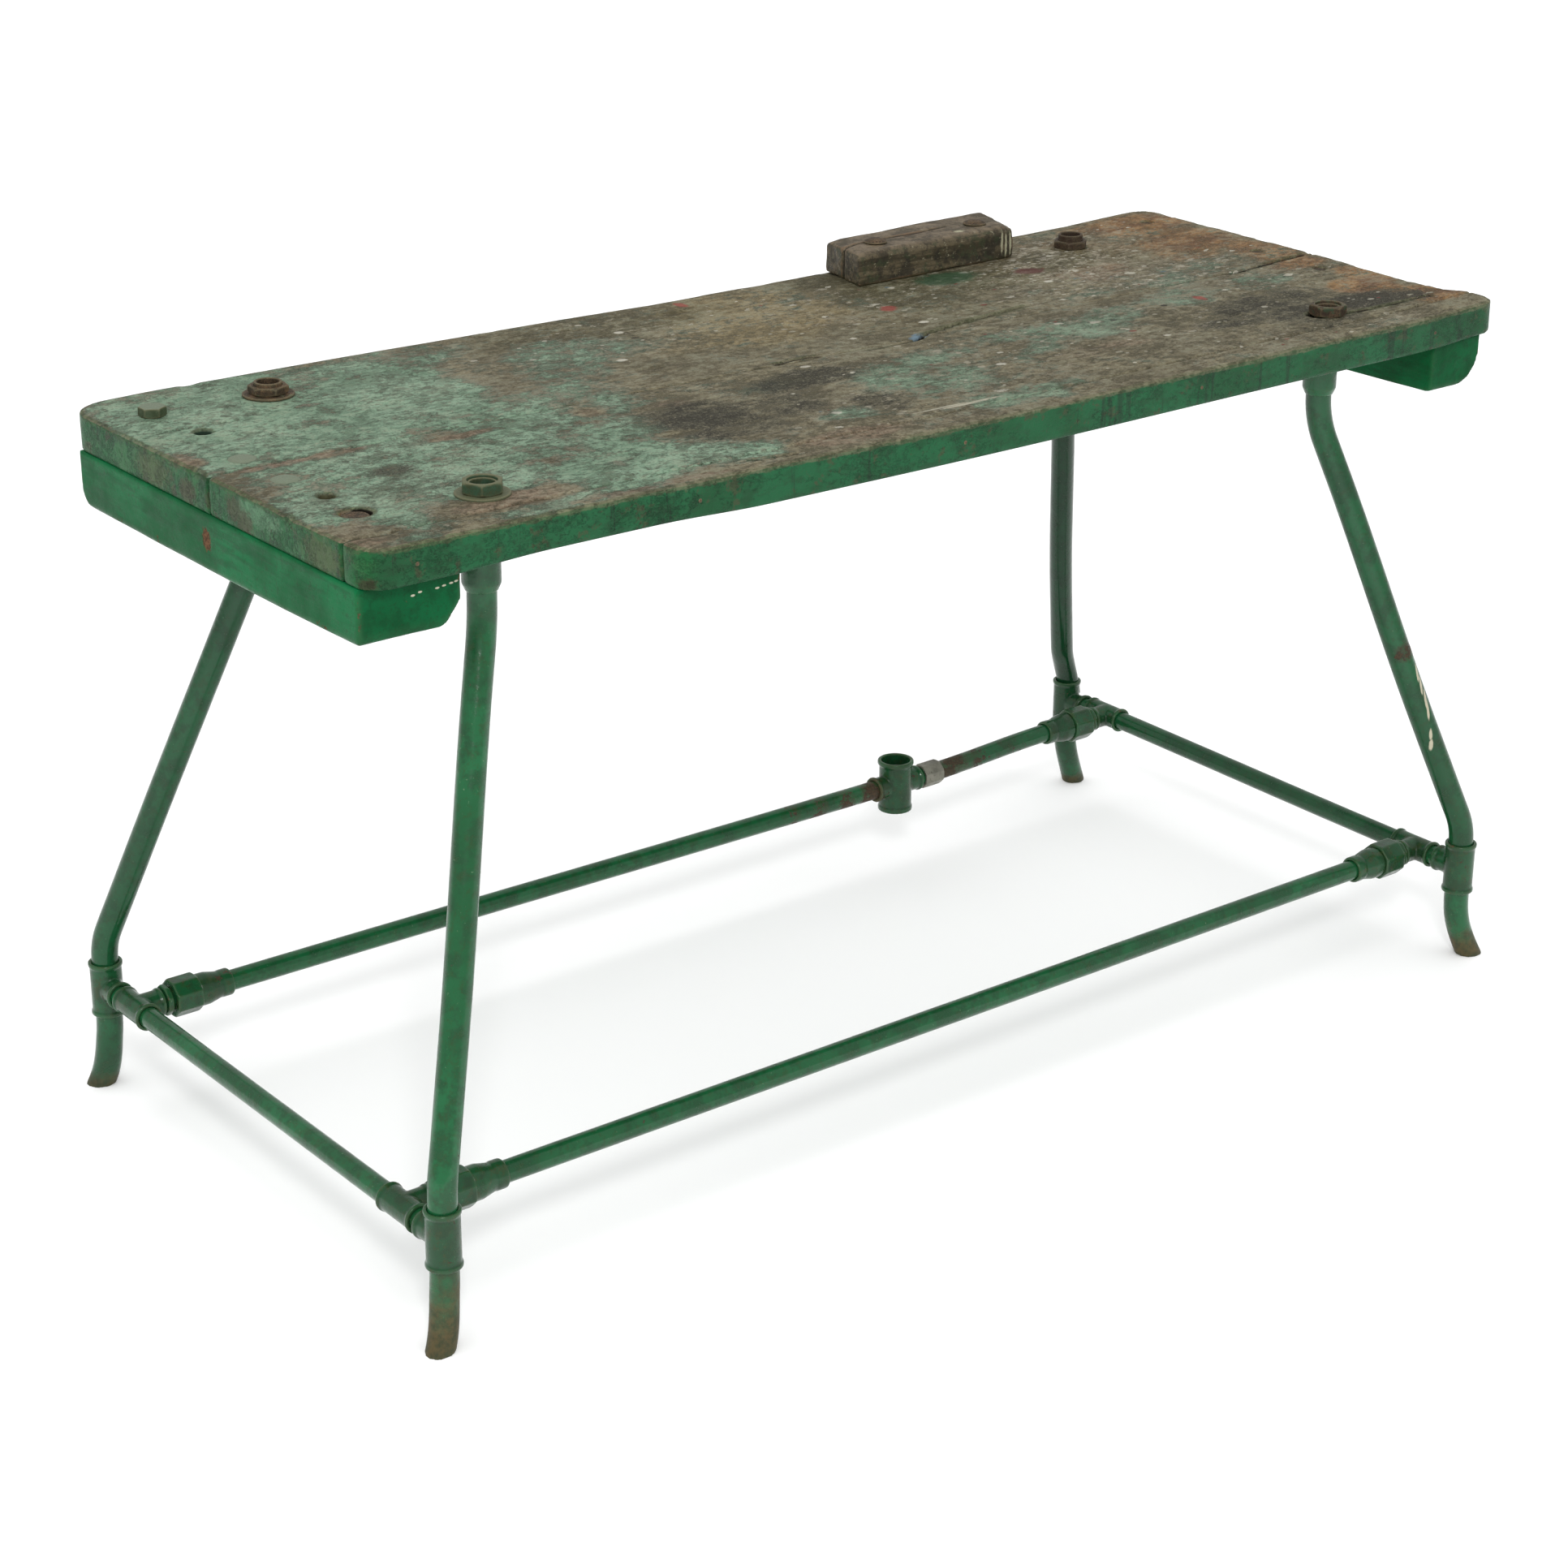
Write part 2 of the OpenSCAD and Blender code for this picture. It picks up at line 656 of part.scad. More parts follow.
// A cross with an open upright socket at its top and bottom and a small branch to each side
module socket_cross() color(paint) translate([cross_x, rail_y, rail_z]) difference() {
    union() {
        boss(cross_half, cross_r, cross_bead_r, cross_bead_h);
        mirror([0, 0, 1]) boss(cross_half, cross_r, cross_r + 1.2, cross_bead_h);
        for (turn = [90, -90]) rotate([0, turn, 0])
            boss(cross_arm, cross_arm_r, cross_arm_r + 2, rail_bead_h);
    }
    mouth(cross_half, cross_socket_r, cross_socket_depth, cross_bore_r);
    mirror([0, 0, 1]) mouth(cross_half, cross_socket_r, cross_socket_depth, cross_bore_r);
    for (turn = [90, -90]) rotate([0, turn, 0])
        mouth(cross_arm, rail_r + thread_gap, rail_depth, rail_bore_r);
}

module cross_nipple() color(paint)
    rail_length(cross_x + cross_arm - rail_depth, cross_x + coupling_start + rail_depth, rail_y);

module hex_coupling() color(zinc) translate([cross_x + coupling_start, rail_y, rail_z])
    rotate([0, 90, 0]) difference() {
        nut_blank(coupling_af, coupling_end - coupling_start, 8);
        translate([0, 0, -1])
            cylinder(h = coupling_end - coupling_start + 2, r = rail_r + thread_gap);
    }

back_plank();
middle_plank();
front_plank();
front_plank_nails();
left_cleat();
right_cleat();
left_hex_bolt();
left_sunk_bolt();
left_coach_bolts();
right_coach_bolts();
cleat_nuts();
cleat_washers();
backstop_block();
backstop_bolts();
backstop_nuts();
backstop_washers();
leg(FL);  // leg_front_left
leg(BL);  // leg_back_left
leg(FR);  // leg_front_right
leg(BR);  // leg_back_right
leg_socket(FL);  // leg_socket_front_left
leg_socket(BL);  // leg_socket_back_left
leg_socket(FR);  // leg_socket_front_right
leg_socket(BR);  // leg_socket_back_right
leg_top_nipples();
leg_backnuts();
leg_washers();
leg_tee(FL);  // leg_tee_front_left
leg_tee(BL);  // leg_tee_back_left
leg_tee(FR);  // leg_tee_front_right
leg_tee(BR);  // leg_tee_back_right
foot(FL);  // foot_front_left
foot(BL);  // foot_back_left
foot(FR);  // foot_front_right
foot(BR);  // foot_back_right
close_nipples();
rail_tee(FL);  // rail_tee_front_left
rail_tee(BL);  // rail_tee_back_left
rail_tee(FR);  // rail_tee_front_right
rail_tee(BR);  // rail_tee_back_right
cross_rail(-1);  // left_cross_rail
cross_rail(1);  // right_cross_rail
union_tail(FL);  // union_tail_front_left
union_tail(BL);  // union_tail_back_left
union_tail(FR);  // union_tail_front_right
union_tail(BR);  // union_tail_back_right
union_nut(FL);  // union_nut_front_left
union_nut(BL);  // union_nut_back_left
union_nut(FR);  // union_nut_front_right
union_nut(BR);  // union_nut_back_right
union_body(FL);  // union_body_front_left
union_body(BL);  // union_body_back_left
union_body(FR);  // union_body_front_right
union_body(BR);  // union_body_back_right
front_rail();
back_rail_left();
back_rail_right();
socket_cross();
cross_nipple();
hex_coupling();
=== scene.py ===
import math
import bpy
import numpy as np
from mathutils import Matrix, Vector


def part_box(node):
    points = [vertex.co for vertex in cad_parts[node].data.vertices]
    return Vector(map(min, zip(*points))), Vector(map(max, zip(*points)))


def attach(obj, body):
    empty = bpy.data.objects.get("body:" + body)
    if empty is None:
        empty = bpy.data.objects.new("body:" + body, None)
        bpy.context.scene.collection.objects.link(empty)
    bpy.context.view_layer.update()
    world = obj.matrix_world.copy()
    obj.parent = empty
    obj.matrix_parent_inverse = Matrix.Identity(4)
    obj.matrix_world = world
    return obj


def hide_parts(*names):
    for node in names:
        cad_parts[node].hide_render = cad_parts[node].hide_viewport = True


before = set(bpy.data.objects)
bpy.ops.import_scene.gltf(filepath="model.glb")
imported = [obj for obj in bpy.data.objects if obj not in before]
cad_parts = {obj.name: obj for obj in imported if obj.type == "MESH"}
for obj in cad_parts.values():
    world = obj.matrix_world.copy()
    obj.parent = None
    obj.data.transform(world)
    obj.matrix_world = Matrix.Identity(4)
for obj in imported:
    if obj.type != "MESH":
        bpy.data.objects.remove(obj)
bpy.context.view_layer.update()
scene = bpy.context.scene

MM = 0.001
CORNERS = ["front_left", "back_left", "front_right", "back_right"]

# Places that the looks hang on, all read from the frame
top_low, top_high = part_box("middle_plank")
TOP_Z = top_high.z
UNDER_Z = top_low.z
LEFT_X, RIGHT_X = top_low.x, top_high.x
FRONT_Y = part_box("front_plank")[0].y
BACK_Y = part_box("back_plank")[1].y
FRONT_SEAM_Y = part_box("middle_plank")[0].y
BACK_SEAM_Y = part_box("back_plank")[0].y


def centre(node):
    low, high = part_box(node)
    return (low + high) / 2


LEGS_X = (centre("leg_socket_front_left").x + centre("leg_socket_front_right").x) / 2


# --- numbers ---

def smoothstep(low, high, x):
    t = np.clip((x - low) / (high - low), 0, 1)
    return t * t * (3 - 2 * t)


def lattice(ix, iy, iz, seed):
    h = (ix.astype(np.uint32) * np.uint32(374761393) + iy.astype(np.uint32) * np.uint32(668265263)
         + iz.astype(np.uint32) * np.uint32(1442695041) + np.uint32(seed * 7919 + 13))
    h = (h ^ (h >> np.uint32(13))) * np.uint32(1274126177)
    h ^= h >> np.uint32(16)
    return h.astype(np.float64) / 2**32


def value_noise(points, size, seed=0, octaves=3):
    """Smooth noise from 0 to 1 at each point; size is the largest feature, in metres, per axis."""
    total = np.zeros(len(points))
    weight, weights = 1.0, 0.0
    p = points / np.array(size)
    for octave in range(octaves):
        cell = np.floor(p).astype(np.int64)
        f = p - cell
        f = f * f * (3 - 2 * f)
        for dx in (0, 1):
            for dy in (0, 1):
                for dz in (0, 1):
                    w = (np.where(dx, f[:, 0], 1 - f[:, 0]) * np.where(dy, f[:, 1], 1 - f[:, 1])
                         * np.where(dz, f[:, 2], 1 - f[:, 2]))
                    total += weight * w * lattice(cell[:, 0] + dx, cell[:, 1] + dy,
                                                  cell[:, 2] + dz, seed + octave)
        weights += weight
        weight *= 0.5
        p = p * 2.03
    return total / weights


def blob(x, y, centre_mm, radius_mm):
    """1 at the centre of an oval patch and 0 outside it; millimetres on the top, from the legs' centre."""
    cx, cy = centre_mm
    rx, ry = radius_mm
    d = np.hypot((x - cx) / rx, (y - cy) / ry)
    return 1 - smoothstep(0.35, 1.15, d)


# --- meshes ---

# Points closer than this are one point
WELD = 1e-6


def link(name, mesh):
    piece = bpy.data.objects.new(name, mesh)
    scene.collection.objects.link(piece)
    return piece


def evaluated(piece):
    """Applies a piece's modifiers, so that its mesh is final."""
    bpy.context.view_layer.update()
    graph = bpy.context.evaluated_depsgraph_get()
    mesh = bpy.data.meshes.new_from_object(piece.evaluated_get(graph))
    piece.modifiers.clear()
    piece.data = mesh
    return piece


def from_cad(name, node):
    """A welded copy of a CAD node's mesh."""
    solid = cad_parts[node].data
    mesh = bpy.data.meshes.new(name)
    mesh.from_pydata([v.co.copy() for v in solid.vertices], [], [list(f.vertices) for f in solid.polygons])
    piece = link(name, mesh)
    weld = piece.modifiers.new("weld", "WELD")
    weld.merge_threshold = WELD
    return evaluated(piece)


def softened(name, node, voxel, rounds):
    """A CAD node remade as an even mesh with rounded edges and filled corners, as cast or worn."""
    piece = from_cad(name, node)
    remesh = piece.modifiers.new("remesh", "REMESH")
    remesh.mode = "VOXEL"
    remesh.voxel_size = voxel
    remesh.use_smooth_shade = True
    smooth = piece.modifiers.new("smooth", "SMOOTH")
    smooth.factor = 0.5
    smooth.iterations = rounds
    return evaluated(piece)


def points_of(piece):
    co = np.empty(len(piece.data.vertices) * 3)
    piece.data.vertices.foreach_get("co", co)
    return co.reshape(-1, 3)


def normals_of(piece):
    n = np.empty(len(piece.data.vertices) * 3)
    piece.data.vertices.foreach_get("normal", n)
    return n.reshape(-1, 3)


def move_points(piece, co):
    piece.data.vertices.foreach_set("co", co.ravel())
    piece.data.update()


def store(piece, name, values):
    attribute = piece.data.attributes.new(name, "FLOAT", "POINT")
    attribute.data.foreach_set("value", np.asarray(values, np.float32))


# How quickly an edge counts as fully worn, or a corner as fully hollow
EDGE_CONTRAST = 8


def store_edges(piece, spread=2, gain=1.0, rubbed=1.0):
    """Saves how far each point stands out of its surroundings ("worn") or lies in them ("hollow").

    spread is how many rounds of averaging widen both, gain scales both, and rubbed scales "worn" alone.
    """
    mesh = piece.data
    edges = np.empty(len(mesh.edges) * 2, np.int64)
    mesh.edges.foreach_get("vertices", edges)
    a, b = edges.reshape(-1, 2).T
    co, normal = points_of(piece), normals_of(piece)
    count = np.maximum(np.bincount(a, minlength=len(co)) + np.bincount(b, minlength=len(co)), 1)

    def around(values):
        return (np.bincount(a, values[b], len(co)) + np.bincount(b, values[a], len(co))) / count

    mean = np.stack([around(co[:, i]) for i in range(3)], 1)
    length = np.linalg.norm(co[a] - co[b], axis=1).mean()
    bend = ((co - mean) * normal).sum(1) / length
    for _ in range(spread):
        bend = (bend + around(bend)) / 2
    bend *= EDGE_CONTRAST * gain
    store(piece, "worn", np.clip(bend, 0, 1) * rubbed)
    # The materials darken these hollows as painted shade
    store(piece, "hollow", np.clip(-bend, 0, 1))


def keep(piece, body, node, material):
    """Puts a finished piece in place of the CAD node it was made from."""
    piece.data.materials.clear()
    piece.data.materials.append(material)
    piece.data.shade_smooth()
    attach(piece, body)
    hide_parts(node)


# --- materials ---

# How bright a white surface that faces up is under the studio's lights
STUDIO = 1.45


def rgb(code):
    """The linear colour of a surface that looks like a display colour such as 6f8f78 in the studio."""
    values = [int(code[i:i + 2], 16) / 255 for i in (0, 2, 4)]
    linear = [v / 12.92 if v <= 0.04045 else ((v + 0.055) / 1.055) ** 2.4 for v in values]
    return tuple(v / STUDIO for v in linear) + (1.0,)


class Paint:
    """A short way to write a node material: each method adds a node and returns its output."""

    def __init__(self, name):
        self.material = bpy.data.materials.new(name)
        self.material.use_nodes = True
        self.nodes = self.material.node_tree.nodes
        self.links = self.material.node_tree.links
        self.shader = self.nodes["Principled BSDF"]
        self.place = self.nodes.new("ShaderNodeTexCoord").outputs["Object"]
        self.ragged = None

    def feed(self, socket, value):
        """Gives a socket another node's output, a number or tuple, or the colour of a display code."""
        if hasattr(value, "is_output"):
            self.links.new(value, socket)
        else:
            socket.default_value = rgb(value) if isinstance(value, str) else value

    def stretched(self, stretch, shift):
        node = self.nodes.new("ShaderNodeMapping")
        self.links.new(self.place, node.inputs["Vector"])
        node.inputs["Scale"].default_value = stretch
        node.inputs["Location"].default_value = shift
        return node.outputs["Vector"]

    def noise(self, scale, detail=4.0, rough=0.55, stretch=None, shift=(0, 0, 0), warp=0.0):
        node = self.nodes.new("ShaderNodeTexNoise")
        self.links.new(self.stretched(stretch or (1, 1, 1), shift), node.inputs["Vector"])
        node.inputs["Scale"].default_value = scale
        node.inputs["Detail"].default_value = detail
        node.inputs["Roughness"].default_value = rough
        node.inputs["Distortion"].default_value = warp
        return node.outputs["Fac"]

    def cells(self, scale, stretch, shift):
        """Each point's distance to the middle of its cell, and three random values of that cell."""
        node = self.nodes.new("ShaderNodeTexVoronoi")
        self.links.new(self.stretched(stretch, shift), node.inputs["Vector"])
        node.inputs["Scale"].default_value = scale
        split = self.nodes.new("ShaderNodeSeparateColor")
        self.links.new(node.outputs["Color"], split.inputs[0])
        return node.outputs["Distance"], *split.outputs

    def oval(self, middle, radius, edge, ragged):
        """1 inside an oval patch: its middle and radii are millimetres, X from the legs' centre.

        edge is how soft its outline is, and ragged how broken.
        """
        scale = [1 / (r * MM) for r in radius]
        shift = [-(m * MM + o) * k for m, o, k in zip(middle, (LEGS_X, 0, 0), scale)]
        node = self.nodes.new("ShaderNodeVectorMath")
        node.operation = "LENGTH"
        self.links.new(self.stretched(scale, shift), node.inputs[0])
        if self.ragged is None:
            self.ragged = self.minus(self.noise(150, 4, 0.7, shift=(4, 6, 2)), 0.5)
        distance = self.add(node.outputs["Value"], self.times(self.ragged, ragged * 2))
        return self.step(distance, 1 - edge, 1 + edge, 1, 0)

    def ovals(self, places, radius, edge, ragged):
        """1 inside any of several oval patches of one size."""
        cover = 0
        for place in places:
            cover = self.math("MAXIMUM", cover, self.oval(place, radius, edge, ragged))
        return cover

    def attribute(self, name, amount=None):
        """A value saved on the mesh's points, and how much of it counts."""
        node = self.nodes.new("ShaderNodeAttribute")
        node.attribute_name = name
        value = node.outputs["Fac"]
        return value if amount is None else self.times(value, amount)

    def math(self, operation, a, b):
        node = self.nodes.new("ShaderNodeMath")
        node.operation = operation
        self.feed(node.inputs[0], a)
        self.feed(node.inputs[1], b)
        return node.outputs[0]

    def add(self, a, b):
        return self.math("ADD", a, b)

    def times(self, a, b):
        return self.math("MULTIPLY", a, b)

    def minus(self, a, b):
        return self.math("SUBTRACT", a, b)

    def swing(self, noise, amount):
        """How far a noise is from its middle, times an amount."""
        return self.times(self.minus(noise, 0.5), amount)

    def step(self, value, low, high, out_low=0.0, out_high=1.0):
        """Goes smoothly from out_low to out_high as the value goes from low to high."""
        node = self.nodes.new("ShaderNodeMapRange")
        node.interpolation_type = "SMOOTHSTEP"
        self.feed(node.inputs["Value"], value)
        node.inputs["From Min"].default_value = low
        node.inputs["From Max"].default_value = high
        node.inputs["To Min"].default_value = out_low
        node.inputs["To Max"].default_value = out_high
        return node.outputs["Result"]

    def mix(self, factor, a, b):
        node = self.nodes.new("ShaderNodeMix")
        node.data_type = "RGBA"
        self.feed(node.inputs[0], factor)
        self.feed(node.inputs[6], a)
        self.feed(node.inputs[7], b)
        return node.outputs[2]

    def blend_values(self, factor, a, b):
        node = self.nodes.new("ShaderNodeMix")
        self.feed(node.inputs[0], factor)
        self.feed(node.inputs[2], a)
        self.feed(node.inputs[3], b)
        return node.outputs[0]

    def bump(self, height, distance, strength, under=None):
        node = self.nodes.new("ShaderNodeBump")
        node.inputs["Strength"].default_value = strength
        node.inputs["Distance"].default_value = distance
        self.links.new(height, node.inputs["Height"])
        if under is not None:
            self.links.new(under, node.inputs["Normal"])
        return node.outputs["Normal"]

    def axis(self, index):
        """X, Y or Z in metres."""
        node = self.nodes.new("ShaderNodeSeparateXYZ")
        self.links.new(self.place, node.inputs[0])
        return node.outputs[index]

    def done(self, colour, roughness, normal=None, metallic=None, specular=0.5, coat=0.0):
        self.feed(self.shader.inputs["Base Color"], colour)
        self.feed(self.shader.inputs["Roughness"], roughness)
        self.shader.inputs["Specular IOR Level"].default_value = specular
        self.shader.inputs["Coat Weight"].default_value = coat
        self.shader.inputs["Coat Roughness"].default_value = 0.12
        if metallic is not None:
            self.feed(self.shader.inputs["Metallic"], metallic)
        if normal is not None:
            self.links.new(normal, self.shader.inputs["Normal"])
        return self.material


def gloss_green(name, light, mid, dark, chips, gloss, grime):
    """Thick brushed-on green gloss paint over steel: brush marks, grime, chips, rust, bare worn feet.

    The paint chips where its noise passes chips; gloss is its least roughness, and grime how dirty it is.
    """
    p = Paint(name)
    broad = p.noise(7, 3, 0.6)
    patchy = p.noise(38, 5, 0.65, shift=(3, 1, 2))
    fine = p.noise(420, 3, 0.6)
    colour = p.mix(p.step(broad, 0.35, 0.68), mid, light)
    colour = p.mix(p.step(patchy, 0.44, 0.6, 0.0, 0.75), colour, dark)
    colour = p.mix(p.step(p.noise(90, 6, 0.7, shift=(5, 5, 5)), 0.5, 0.64, 0, grime), colour, "33421f")
    colour = p.mix(p.step(p.noise(260, 3, 0.6, shift=(1, 5, 2)), 0.68, 0.74, 0, 0.5), colour, "7d9b78")
    rust = p.mix(p.step(fine, 0.4, 0.6), "553b26", "38291a")
    chip_noise = p.add(p.noise(55, 8, 0.75, shift=(9, 2, 4)), p.attribute("worn", 0.05))
    chip = p.step(p.add(chip_noise, p.attribute("rust", 0.22)), chips, chips + 0.035)
    rust_edge = p.add(p.attribute("rust"), p.minus(patchy, 0.5))
    colour = p.mix(p.step(rust_edge, 0.3, 0.9, 0, 0.55), colour, "4c3d24")
    colour = p.mix(chip, colour, rust)
    scuffed = p.step(p.add(p.attribute("foot"), p.swing(patchy, 1.2)), 0.1, 0.9, 0, 0.95)
    colour = p.mix(scuffed, colour, p.mix(p.step(p.noise(80, 5, 0.7), 0.35, 0.65), "3a3b20", "5c4c2a"))
    # Painted shade: pieces under the top are darkened as much as "shade" says
    colour = p.mix(p.attribute("shade"), colour, "0b2a18")
    # Painted shade: darker in the hollows
    colour = p.mix(p.attribute("hollow", 0.6), colour, "1c2c18")
    colour = p.mix(p.attribute("worn", 0.3), colour, "5a7a4e")
    # A run of cream paint down the front right leg
    long_runs = p.ovals([(757, -352, 421), (761, -355, 403), (766, -358, 384), (768, -360, 367)],
                        (2.2, 14, 13), 0.2, 0.3)
    short_runs = p.ovals([(770, -362, 334), (771, -364, 320)], (2.2, 14, 9), 0.2, 0.3)
    colour = p.mix(p.math("MAXIMUM", long_runs, short_runs), colour, "c9c2a8")
    rough = p.blend_values(chip, p.step(patchy, 0.35, 0.7, gloss, gloss + 0.16), 0.8)
    rough = p.blend_values(scuffed, rough, 0.7)
    swell = p.add(p.noise(26, 3, 0.5), p.times(p.noise(160, 3, 0.5), 0.3))
    normal = p.bump(swell, 0.0016, 0.6)
    normal = p.bump(p.minus(p.times(fine, 0.15), chip), 0.00035, 0.6, normal)
    return p.done(colour, rough, normal, specular=0.3, coat=0.15)


def rusty(name, paint, top, metal_light="6e563c", metal_dark="403322"):
    """Old steel hardware: grimy rust with remains of paint, as much as "green" says, paler on its top."""
    p = Paint(name)
    broad = p.noise(60, 5, 0.65)
    fine = p.noise(600, 5, 0.7)
    colour = p.mix(p.step(broad, 0.4, 0.62), metal_dark, metal_light)
    colour = p.mix(p.step(fine, 0.45, 0.62), colour, "2e271b")
    left = p.add(p.noise(85, 6, 0.7, shift=(2, 7, 1)), p.swing(p.attribute("green"), 0.6))
    paint_colour = p.mix(p.step(p.noise(140, 5, 0.7, shift=(1, 2, 5)), 0.35, 0.65), paint, "3c4a2e")
    paint_colour = p.mix(p.attribute("up", 0.7), paint_colour, top)
    colour = p.mix(p.step(left, 0.42, 0.52, 0, 0.9), colour, paint_colour)
    colour = p.mix(p.attribute("worn", 0.4), colour, "8a8060")
    colour = p.mix(p.attribute("dark", 0.85), colour, p.mix(p.step(broad, 0.4, 0.6), "3a2319", "2c2a20"))
    # Painted shade: near black in the hollows
    colour = p.mix(p.attribute("hollow", 0.85), colour, "1a1810")
    normal = p.bump(p.add(fine, p.times(broad, 0.8)), 0.0006, 0.7)
    return p.done(colour, p.step(fine, 0.3, 0.7, 0.5, 0.8), normal, metallic=0.1, specular=0.35)


def galvanised():
    """Dull zinc with a little dirt."""
    p = Paint("bare_zinc")
    colour = p.mix(p.step(p.noise(45, 5, 0.6), 0.35, 0.65), "77766a", "9a988a")
    colour = p.mix(p.step(p.noise(170, 6, 0.7), 0.55, 0.75), colour, "4f4a3c")
    # Painted shade in the hollows
    colour = p.mix(p.attribute("hollow", 0.7), colour, "2b2a20")
    normal = p.bump(p.noise(300, 5, 0.6), 0.0004, 0.5)
    return p.done(colour, p.step(p.noise(80), 0.3, 0.7, 0.38, 0.6), normal, metallic=0.55)


# Stains on the bench top: centre from the legs' centre and radii, both in millimetres, and strength
SOOT = [((-270, -125), (105, 80), 1.1), ((-265, -190), (110, 60), 0.8), ((-170, -150), (80, 70), 0.75),
        ((-80, -70), (120, 48), 1.1), ((-60, -205), (55, 60), 0.9), ((-20, -60), (60, 40), 0.6),
        ((-675, -105), (38, 24), 0.7), ((620, -150), (150, 52), 0.9), ((640, -215), (120, 55), 0.9),
        ((740, -215), (100, 48), 1.4), ((790, -235), (80, 36), 1.1), ((600, -265), (70, 40), 0.8),
        ((530, -195), (90, 40), 0.9),
        ((-470, 160), (26, 20), 0.3), ((420, -280), (60, 30), 0.3), ((650, -262), (90, 30), 0.7)]
OLIVE = [((280, 170), (130, 120), 1.2), ((-190, 215), (110, 70), 0.8), ((560, 190), (170, 80), 0.8),
         ((-150, 270), (300, 90), 0.8), ((-60, 190), (170, 90), 0.3), ((180, 200), (130, 140), 0.4),
         ((330, 200), (190, 90), 1.0), ((400, 170), (150, 70), 1.0), ((230, 60), (190, 80), 0.55),
         ((-100, 60), (260, 90), 0.4), ((-320, 80), (120, 90), 0.25), ((250, 290), (120, 60), 0.9),
         ((200, -40), (190, 60), 0.3), ((-700, 305), (140, 40), 0.2)]
OCHRE = [((20, 160), (160, 120), 1.2), ((60, 260), (190, 90), 1.0), ((150, 190), (70, 80), 0.9),
         ((-90, 140), (120, 70), 0.6), ((540, 30), (120, 60), 0.5),
         ((-420, 110), (60, 40), 0.3), ((150, 100), (120, 60), 0.4)]
MINT = [((-470, -250), (120, 110), 1.15), ((-470, -40), (110, 90), 1.0), ((-480, 120), (120, 120), 1.0),
        ((-370, 60), (130, 170), 0.6), ((-367, -120), (90, 60), 0.9), ((-790, 60), (70, 160), 1.1),
        ((-700, 150), (300, 330), 1.0), ((-520, 200), (160, 170), 0.95), ((-500, 60), (110, 110), 0.9),
        ((-640, -90), (270, 90), 0.74), ((-640, -190), (260, 100), 0.76), ((-430, -215), (130, 110), 1.0),
        ((-480, -120), (190, 90), 0.75), ((-560, -310), (160, 30), 0.8), ((-780, -200), (110, 180), 0.8),
        ((-240, 185), (110, 80), 0.72), ((-310, 120), (110, 60), 0.5), ((-420, 280), (120, 80), 0.6),
        ((-135, -72), (62, 28), 0.85), ((-330, -45), (120, 26), 0.6), ((-120, -225), (60, 36), 0.8),
        ((10, -120), (70, 90), 0.64), ((60, -170), (110, 90), 0.56), ((-10, -190), (60, 60), 0.7),
        ((120, -90), (90, 50), 0.55), ((90, -280), (130, 40), 0.72), ((-330, -265), (90, 60), 0.7),
        ((340, -100), (120, 62), 0.64), ((270, -70), (70, 40), 0.56), ((420, -70), (90, 50), 0.55),
        ((230, -160), (90, 60), 0.5), ((710, -60), (70, 45), 0.6), ((560, -60), (110, 50), 0.45),
        ((620, 30), (190, 70), 0.42), ((480, 80), (110, 60), 0.35), ((-200, -300), (70, 20), 0.4)]
BARE = [((-784, -209), (20, 22), 1.2), ((-765, -12), (75, 14), 0.9), ((-690, -12), (62, 16), 0.9),
        ((-630, -270), (105, 34), 0.8),
        ((-820, -262), (60, 40), 0.5), ((-180, -292), (95, 34), 1.1), ((-540, -36), (60, 12), 0.8),
        ((-835, 60), (26, 40), 0.7), ((-370, -42), (22, 24), 0.7), ((-270, -70), (42, 24), 0.7),
        ((-380, 130), (60, 90), 0.35), ((-620, 170), (24, 10), 0.6), ((300, -185), (130, 36), 0.5),
        ((-830, -300), (50, 24), 0.7), ((-470, -318), (170, 14), 0.6), ((-505, -180), (30, 22), 0.3),
        ((560, 150), (150, 130), 0.45)]
ORANGE = [((-788, -209), (17, 20), 1.2), ((830, 40), (60, 110), 0.6), ((600, 210), (220, 130), 0.25),
          ((200, 110), (140, 120), 0.2), ((800, 270), (120, 70), 0.7), ((790, 160), (110, 90), 0.65),
          ((740, 110), (70, 60), 0.5), ((850, -120), (40, 60), 0.9),
          ((800, -170), (60, 62), 1.0), ((835, -245), (60, 60), 0.9), ((720, 290), (90, 40), 0.4),
          ((820, -30), (60, 30), 0.6), ((640, 250), (60, 60), 0.4)]
PINK = [((815, -30), (70, 30), 1.0), ((560, 120), (140, 110), 0.55), ((-775, -10), (80, 16), 0.5),
        ((-270, 40), (130, 80), 0.35), ((660, 200), (90, 70), 0.4), ((-400, 90), (70, 120), 0.4)]
SPLASH = [((560, 190), (170, 150), 1.0), ((620, 60), (210, 90), 0.9), ((480, 90), (150, 110), 0.8),
          ((200, 160), (260, 160), 0.45), ((-120, 230), (240, 110), 0.35), ((700, -60), (150, 80), 0.6),
          ((300, -120), (420, 160), 0.32), ((-120, -210), (130, 90), 0.4), ((720, 260), (140, 80), 0.5),
          ((400, 190), (150, 80), 0.6), ((600, -250), (300, 80), 0.3)]


def patches(x, y, stains):
    """The strongest of a list of stains at each point."""
    cover = np.zeros(len(x))
    for middle, radius, strength in stains:
        cover = np.maximum(cover, blob(x, y, middle, radius) * strength)
    return cover


def crack_depth(x, y, points, width):
    """1 in the middle of a crack that runs through the given points, in millimetres, 0 outside it."""
    px, py = zip(*points)
    line = np.interp(x, px, py)
    inside = smoothstep(px[0] - 4, px[0] + 25, x) * smoothstep(px[-1] + 4, px[-1] - 25, x)
    return inside * (1 - smoothstep(width * 0.3, width, np.abs(y - line)))


